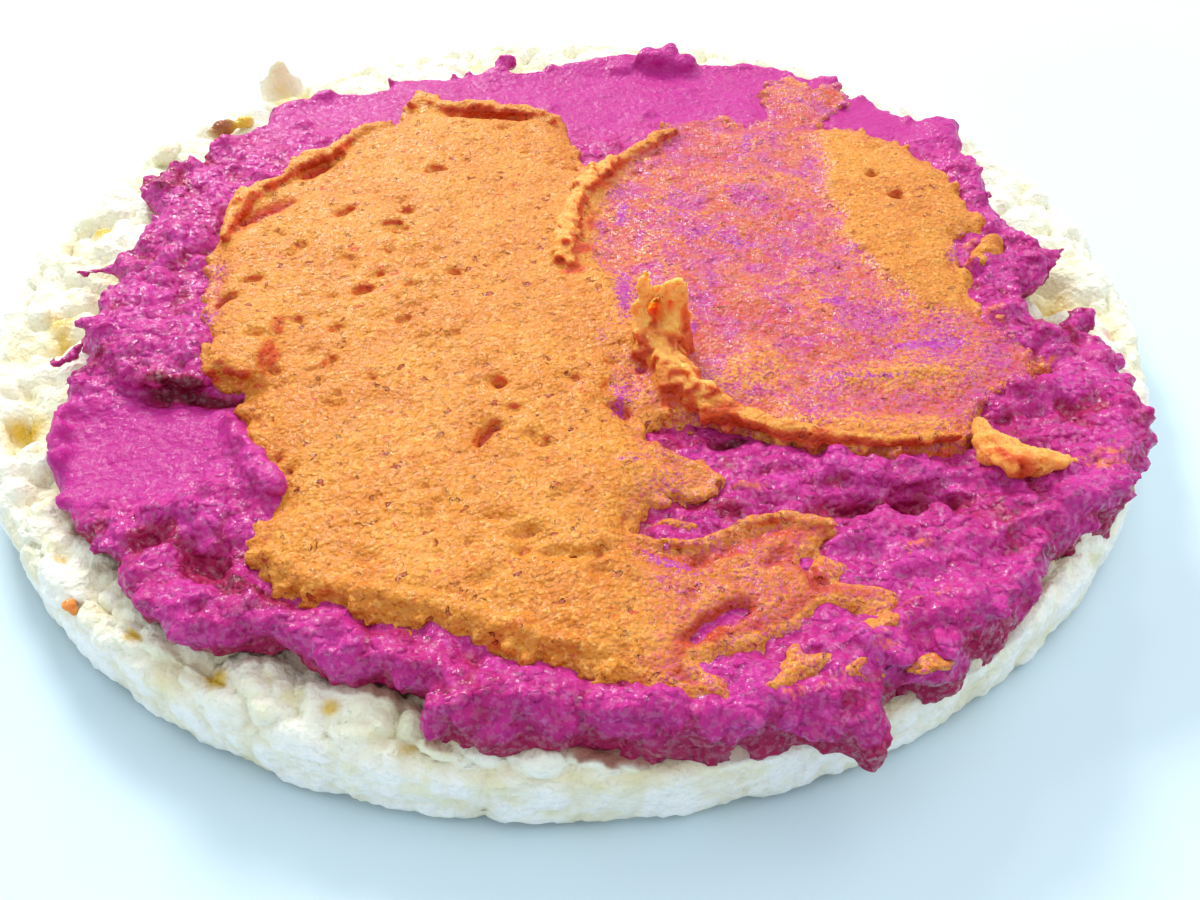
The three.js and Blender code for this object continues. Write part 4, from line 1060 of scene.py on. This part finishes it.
def thinness(x, y):
    """How far the orange is scraped down to a smear, from 0 to 1."""
    left_side = np.interp(y, [-24, -18, -8, -3, 2, 8, 12, 20], [6.4, 5.6, 3.0, 0.9, 0.8, 2.6, 4.2, 8.6])
    right = ease(x - left_side, 0.0, 2.6) * ease(y, -23.5, -20.5)
    wavy = 0.8 * roll(flat(x, y), 2.6, 93).reshape(x.shape)
    patch_edge = x - 23.2 - 0.45 * np.maximum(0, -2 - y) + wavy
    patch = ease(patch_edge, -0.9, 1.2) * (1 - ease(y, 17, 18.5)) * ease(y, -12.5, -9)
    corner = np.exp(-(((x - 23.6) / 3.2) ** 4) - ((y - 26) / 3.6) ** 4)
    ribbon = ridge_rise(x, y, [((24, -17.8), 4, (6, 1.1), 1.0), ((12, -17.6), 40, (4, 1.6), 0.8)])
    left_fray = 0.55 * ease(-x, 25.5, 28.5) * ease(-y, 1, 4)
    low_fray = 0.32 * ease(x, 1, 6) * ease(-y, 19, 23)
    flap_foot = 0.6 * np.exp(-(((x - 4.4) / 1.8) ** 4) - ((y + 17.6) / 3.0) ** 4)
    bare_share = right * (1 - 0.95 * patch) * (1 - 0.35 * corner) * (1 - 0.7 * ribbon)
    return np.clip(bare_share + left_fray + low_fray + flap_foot, 0, 1)


def small_pits():
    """Every pit's middle, direction, reach and narrowness: those listed and a scatter of lesser ones."""
    rng = np.random.default_rng(31)
    places = list(ORANGE_PITS)
    for _ in range(150):
        places.append(((rng.uniform(-28, 8), rng.uniform(-38, 20)), rng.uniform(0.22, 0.4)))
    pits = []
    for (x, y), reach in places:
        turn = rng.uniform(-0.2, 0.9)
        for along in (-0.6, 0.5):
            step = along * reach * rng.uniform(0.7, 1.3)
            at = (x + step * math.cos(turn), y + step * math.sin(turn) + rng.normal(0, 0.25) * reach)
            pit_turn = turn + rng.normal(0, 0.4)
            pit_reach = reach * rng.uniform(0.6, 1.0)
            pits.append((at, pit_turn, pit_reach, rng.uniform(0.45, 0.85)))
    return pits


def orange_top(x, y):
    """The height of the orange's top; below the pink's top it leaves the pink bare."""
    shape = x.shape
    torn = crumble(flat(x, y), 2.4, 4, 91).reshape(shape)
    frayed = ease(x, 2, 6) * ease(-y, 29, 32)
    fine_tear = crumble(flat(x, y), 0.9, 2, 109).reshape(shape)
    inside = depth_inside(x, y, ORANGE_LINE) + (0.55 - 0.3 * frayed) * torn
    inside = inside + (0.12 + 0.45 * frayed) * fine_tear
    for wisp in ORANGE_WISPS:
        inside = np.maximum(inside, depth_inside(x, y, closed_curve(wisp)) + 0.1 * torn)
    closed = np.full(shape, 9.0)
    for hole in ORANGE_HOLES:
        beyond = 0.15 * torn + 0.3 * fine_tear - depth_inside(x, y, closed_curve(hole))
        closed = np.minimum(closed, beyond)
    thin = thinness(x, y)
    uneven = crumble(flat(x, y), 4.5, 4, 95).reshape(shape)
    grain = crumble(flat(x, y), 1.0, 3, 99).reshape(shape)
    crumb, _ = grains(flat(x, y), 0.95, 100)
    full = ORANGE_THICK * (1 + 0.26 * uneven) + 0.06 * grain + 0.1 * (0.5 - crumb.reshape(shape))
    smear = 0.36 + 0.3 * uneven + 0.12 * grain
    thick = full * (1 - thin) + smear * thin
    thick = thick * (0.35 + 0.65 * ease(inside, 0, 1.2 + 1.2 * (1 + uneven)))
    px = x + 0.5 * crumble(flat(x, y), 0.8, 2, 101).reshape(shape)
    py = y + 0.5 * crumble(flat(x, y), 0.8, 2, 102).reshape(shape)
    pits = 0.75 * ridge_rise(x, y, SHADED_HOLLOWS[:3])
    for (cx, cy), turn, reach, narrow in small_pits():
        c, s = math.cos(turn), math.sin(turn)
        along, across = (px - cx) * c + (py - cy) * s, ((py - cy) * c - (px - cx) * s) / narrow
        pits += min(1.2, 1.7 * reach) * np.exp(-(((along**2 + across**2) / reach**2) ** 1.6))
    cracks = crumble(flat(x, y, (0.7, 1.2), 18), 1.25, 3, 103).reshape(shape)
    where = ease(roll(flat(x, y), 5.0, 107).reshape(shape), -0.5, 0.6)
    pits += 2.4 * np.maximum(0, cracks - 0.5 + 0.24 * where) * (1 - 0.6 * thin)
    thick = thick * (1 - 0.42 * frayed) - pits
    drop = ease(np.minimum(inside, closed), -0.3, 0.3)
    return pink_top(x, y) + thick * drop - 0.6 * (1 - drop)


def build_orange():
    rng = np.random.default_rng(9)

    def bottom(x, y):
        return pink_top(x, y) - 0.75

    def inside(x, y):
        reach = depth_inside(x, y, ORANGE_LINE)
        for wisp in ORANGE_WISPS:
            reach = np.maximum(reach, depth_inside(x, y, closed_curve(wisp)))
        return reach > -1.2

    parts = [paste_sheet((-32, 38), (-46, 32), orange_top, bottom, inside)]
    for corners, rise in ORANGE_ROLLS:
        line = route_of(corners, 0.5)
        for (x, y, size), ground in zip(line, pink_top(line[:, 0], line[:, 1])):
            z = ground + rise
            half = size * rng.uniform(0.65, 1.0, 3) * (1, 1, 0.85)
            parts.append(lump((x, y, z - 0.1 * size), half, rng.uniform(0, 180), 0, len(parts), TORN))
            for _ in range(3 if size > 0.4 else 1):
                spot = np.array([x, y, z]) + size * rng.normal(0, 0.42, 3) * (1, 1, 0.7)
                half = size * rng.uniform(0.3, 0.6, 3)
                parts.append(lump(spot, half, rng.uniform(0, 180), 0, len(parts), TORN))
    # Crumbs along the edge.
    edge = closed_curve(ORANGE_EDGE, 7)
    edge = (edge + rng.normal(0, 0.2, edge.shape))[rng.random(len(edge)) < 0.4]
    edge = edge[(edge[:, 0] < 3) | (edge[:, 1] > -30)]
    for (x, y), ground in zip(edge, pink_top(edge[:, 0], edge[:, 1])):
        half = rng.uniform(0.25, 0.5, 3) * (1.2, 1.2, 0.7)
        z = ground + rng.uniform(-0.1, 0.35)
        parts.append(lump((x, y, z), half, rng.uniform(0, 180), 0, len(parts), TORN))
    for foot, tip, flatness in FLAP_COLUMNS:
        for up in np.linspace(0, 1, 16):
            x, y, z, size = (1 - up) * np.array(foot) + up * np.array(tip)
            spot = (x, y, z) + rng.normal(0, 0.13, 3)
            half = size * rng.uniform(0.75, 1.05, 3) * (1, flatness, 1)
            parts.append(lump(spot, half, rng.uniform(-20, 20), 0, len(parts), TORN))
    piece = fuse("orange_paste_layer", parts, 0.28)

    def flap_hollows(points):
        x, y, z = points.T
        near = np.exp(-(((x - 6.8) / 2.8) ** 6) - ((y + 14.4) / 2.4) ** 6) * ease(z, 10.2, 11.0)
        return near * ridge_rise(x, z, FLAP_HOLLOWS)

    def crumbs(points, normal):
        grain, crease = grains(points + 0.4 * roll(points, 0.9, 119)[:, None], 1.15, 113)
        pits = np.maximum(0, crumble(points, 0.8, 2, 117) - 0.3)
        raised = ease(points[:, 2] - pink_top(points[:, 0], points[:, 1]), 1.2, 2.2)
        loose = 0.22 + 0.78 * raised
        clefts = 0.45 * grain**2 + 0.1 * np.exp(-((crease / 0.15) ** 2))
        dents = 0.7 * flap_hollows(points) * ease(-normal[:, 1], 0, 0.6)
        return 0.1 - loose * clefts - 0.35 * pits - dents

    push_out(piece, crumbs)
    points = points_of(piece)
    hidden = points[:, 2] < pink_top(points[:, 0], points[:, 1]) - 0.45
    thin_out(piece, hidden)
    points = points_of(piece)
    x, y, z = points.T
    height = z - pink_top(x, y)
    mark(piece, "smear", thinness(x, y) * (1 - ease(height, 0.7, 1.3)))
    # Painted shade: faces turned toward the viewer, faces turned right, the listed hollows and the flap's
    # hollows take a deep red-orange.
    nx, ny, nz = normals_of(piece).T
    shaded = np.maximum(ease(-ny - 0.3 * nz, 0.05, 0.6), 0.9 * ease(nx, 0.25, 0.8))
    front_left = ease(-y, 28, 32) * (1 - ease(x, 2, 6))
    shaded *= ease(height, 0.25, 0.9) * (1 - 0.8 * ease(height, 2.0, 3.4)) * (1 - 0.7 * front_left)
    rim = 1 - ease(depth_inside(x, y, ORANGE_LINE), 0.4, 1.2)
    hollow_shade = ridge_rise(x, y, SHADED_HOLLOWS) * (1 - ease(height, 1.4, 2.6))
    hollow_shade *= 0.75 + 0.6 * crumble(points, 1.1, 2, 123)
    mark(piece, "deep", np.maximum(np.maximum(hollow_shade, 0.95 * shaded), flap_hollows(points)))
    mark(piece, "bare", ridge_rise(x, y, BARE_PLACES) * (1 - ease(height, 0.9, 1.4)))
    # Low places and pits take a darker red as painted shade; near the edge the paste keeps its orange.
    mark(piece, "height", np.maximum(height / 1.2, 0.55 * rim))
    # Crests take a lighter orange: painted light standing in for light through the paste.
    mark(piece, "raised", ease(height, 1.2, 2.4))
    return piece


def orange_paste_finish():
    """Orange with painted light on its crests and painted shade red-orange in its pits and hollows, mixed
    with pink where it is thin.
    """
    f = Finish("orange_paste")
    body = f.mix((219, 139, 46), (207, 119, 32), f.between(f.noise(6.0, 3), 0.35, 0.68))
    grainy = f.mix(body, (240, 174, 88), f.between(f.noise(0.4, 2, 0.7), 0.5, 0.7, 0, 0.8))
    grainy = f.mix(grainy, (196, 92, 30), f.between(f.noise(0.5, 2, 0.7), 0.44, 0.3, 0, 0.6))
    grainy = f.mix(grainy, (198, 58, 44), f.between(f.noise(1.2, 3, 0.7), 0.36, 0.28, 0, 0.85))
    torn = f.ragged(0.5, 1.0)
    # Pores: red-orange specks pressed in by the bumps below, darker as painted shade in them.
    holes = f.between(f.cells(1.6, place=torn), 0.2, 0.1)
    specks = f.between(f.cells(0.8, place=torn), 0.22, 0.12)
    grainy = f.mix(grainy, (204, 108, 44), f.times(specks, 0.5))
    grainy = f.mix(grainy, (176, 56, 28), f.times(holes, f.between(f.noise(5.0, 2), 0.42, 0.56, 0, 0.9)))
    # Painted shade: darker red in the pits and low places.
    pitted = f.mix(grainy, (186, 54, 34), f.between(f.marked("height"), 0.56, 0.2, 0, 0.88))
    # Painted light: lighter orange on the crests.
    raised = f.mix(pitted, (255, 176, 88), f.marked("raised"))
    fine = f.noise(0.3, 2, 0.75)
    patchy = f.noise(3.0, 5, 0.68, warp=0.6)
    share = f.sum(f.times(f.marked("smear"), 0.55), f.between(fine, 0.32, 0.68, -0.5, 0.5),
                  f.times(f.between(patchy, 0.36, 0.64, -0.24, 0.24), f.marked("smear")))
    rosy = f.mix((208, 82, 88), (188, 54, 132), f.between(patchy, 0.4, 0.62))
    share = f.times(f.between(share, 0.0, 0.8), f.between(f.marked("smear"), 0.05, 0.4))
    mixed = f.mix(raised, rosy, share)
    bare = f.sum(f.marked("bare"), f.between(fine, 0.3, 0.7, -0.4, 0.4))
    wiped = f.mix(mixed, (180, 44, 156), f.between(bare, 0.35, 0.8, 0, 0.9))
    # Painted shade: deep red-orange, darkest where the mark is strongest.
    deep = f.mix(wiped, (204, 56, 12), f.between(f.marked("deep"), 0.15, 0.85, 0, 0.88))
    deep = f.mix(deep, (150, 26, 8), f.between(f.marked("deep"), 0.8, 1.0, 0, 0.5))
    f.colour(deep)
    f.roughness(f.between(f.noise(0.4, 1), 0.3, 0.7, 0.4, 0.65))
    f.set(Subsurface_Radius=(1.0, 0.45, 0.18), Subsurface_Scale=1.2 * MM,
          Specular_IOR_Level=0.2, Coat_Roughness=0.12)
    f.links.new(f.between(f.marked("raised"), 0, 1, 0.15, 0.9), f.shader.inputs["Subsurface Weight"])
    f.wet_glints(0.75, f.sum(f.times(f.marked("smear"), 0.6), 0.32), 0.15)
    f.bumps((f.sum(f.times(holes, -0.2), f.times(specks, -0.08)), 1.0), (f.noise(0.5, 2, 0.7), 0.2),
            (f.between(f.cells(0.34), 0.0, 0.8, 1, 0), 0.09))
    return f.material


orange = build_orange()
orange_material = orange_paste_finish()
orange.data.materials.append(orange_material)
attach(orange, "root")
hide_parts("orange_spread")


# The orange dab.
# A torn scrap of the orange paste that came off the knife and lies by itself on the right.

# The scrap's strands, side by side from its raised end to its tail: route in plan with radius.
DAB_STRANDS = [
    [(27.8, -23.2, 0.3), (27.3, -25.4, 0.5), (27.5, -27.4, 0.6), (28.2, -28.7, 0.5)],
    [(27.9, -23.6, 0.3), (28.1, -25.6, 0.55), (28.6, -27.4, 0.7), (29.4, -28.6, 0.6)],
    [(28.1, -24.2, 0.3), (28.9, -25.9, 0.5), (29.8, -27.2, 0.65), (30.6, -28.1, 0.5)],
    [(28.3, -24.4, 0.3), (29.6, -25.7, 0.35), (31.0, -26.9, 0.4), (32.8, -27.9, 0.25)],
    [(28.0, -28.3, 0.45), (29.2, -28.6, 0.5), (30.6, -28.2, 0.45), (32.2, -28.0, 0.3)],
]


def build_dab():
    rng = np.random.default_rng(12)
    parts = []
    for n, strand in enumerate(DAB_STRANDS):
        line = route_of(strand, 0.25)
        for (x, y, size), ground in zip(line, pink_top(line[:, 0], line[:, 1])):
            z = ground + 0.75 - 0.14 * n + rng.normal(0, 0.05)
            half = size * rng.uniform(0.75, 1.1, 3)
            parts.append(lump((x, y, z), half, rng.uniform(0, 180), 0, len(parts), 0.3))
    piece = fuse("orange_paste_dab", parts, 0.18)

    def torn(points, normal):
        strands = crumble(flat(points[:, 0], points[:, 1], (0.35, 1.5), -50), 1.1, 3, 121)
        return 0.16 - 0.5 * np.abs(strands) + 0.16 * crumble(points, 0.7, 2, 125)

    push_out(piece, torn)
    points = points_of(piece)
    # Red-orange streaks along the strands: partly the paste's streaky tone, partly painted shade between
    # the strands.
    streaks = crumble(flat(points[:, 0], points[:, 1], (0.35, 1.5), -50), 1.3, 3, 127)
    mark(piece, "deep", 0.22 + 1.1 * streaks)
    mark_evenly(piece, smear=0.0, bare=0.0, height=1.0, raised=0.8)
    return piece


dab = build_dab()
dab.data.materials.append(orange_material)
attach(dab, "root")
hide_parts("orange_dab")


# The stray crumb.
# A speck of the orange paste that fell on the rim at the front left and stuck there.

CRUMB_MIDDLE = (-31.8, -34.0, 5.8)
CRUMB_FOOT = (-31.5, -34.3, 5.6)

crumb_parts = [lump(CRUMB_MIDDLE, (0.5, 0.45, 0.4), 20, 0, 3), lump(CRUMB_FOOT, (0.3, 0.3, 0.3))]
crumb = fuse("orange_crumb", crumb_parts, 0.12)
mark_evenly(crumb, smear=0.0, bare=0.0, deep=0.4, height=1.0, raised=0.8)
crumb.data.materials.append(orange_material)
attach(crumb, "root")


# The table, the light and the view.
# A plain pale floor under soft light from behind and the left, seen from the front at the
# height of someone leaning over the table.

FLOOR_SIZE = 3.0
CAMERA_AT = (0.0, -0.0778, 0.0609)
CAMERA_TARGET = (0.00215, -0.01526, 0.0)


def floor_finish():
    f = Finish("pale_floor")
    f.colour(f.mix((214, 232, 240), (206, 226, 238), f.noise(60.0, 2)))
    f.set(Roughness=0.35, Specular_IOR_Level=0.3)
    return f.material


bpy.ops.mesh.primitive_plane_add(size=FLOOR_SIZE)
floor = bpy.context.object
floor.name = "floor"
floor.data.materials.append(floor_finish())

world = bpy.data.worlds.new("pale_room")
bpy.context.scene.world = world
world.use_nodes = True
world.node_tree.nodes["Background"].inputs["Color"].default_value = (0.86, 0.95, 1.0, 1.0)
world.node_tree.nodes["Background"].inputs["Strength"].default_value = 0.8


def soft_light(name, at, size, power, tint):
    """A square soft light that faces the cake."""
    light = bpy.data.lights.new(name, "AREA")
    light.size = size
    light.energy = power
    light.color = tint
    lamp = bpy.data.objects.new(name, light)
    lamp.location = at
    lamp.rotation_euler = (-Vector(at)).to_track_quat("-Z", "Y").to_euler()
    bpy.context.collection.objects.link(lamp)


soft_light("window", (-0.17, 0.42, 0.36), 0.15, 2.6, (1.0, 0.99, 0.97))
soft_light("sky_fill", (0.3, 0.1, 0.5), 0.6, 1.4, (0.95, 0.98, 1.0))
soft_light("left_fill", (-0.42, -0.08, 0.14), 0.3, 0.26, (0.82, 0.97, 1.0))
soft_light("lamp", (0.12, 0.46, 0.39), 0.05, 0.3, (1.0, 0.97, 0.9))

camera_data = bpy.data.cameras.new("camera")
camera_data.lens = 33.0
camera_data.sensor_width = 36.0
camera_data.clip_start = 0.005
camera = bpy.data.objects.new("camera", camera_data)
camera.location = CAMERA_AT
camera.rotation_euler = (Vector(CAMERA_TARGET) - Vector(CAMERA_AT)).to_track_quat("-Z", "Y").to_euler()
bpy.context.collection.objects.link(camera)
bpy.context.scene.camera = camera
bpy.context.scene.view_settings.view_transform = "Standard"
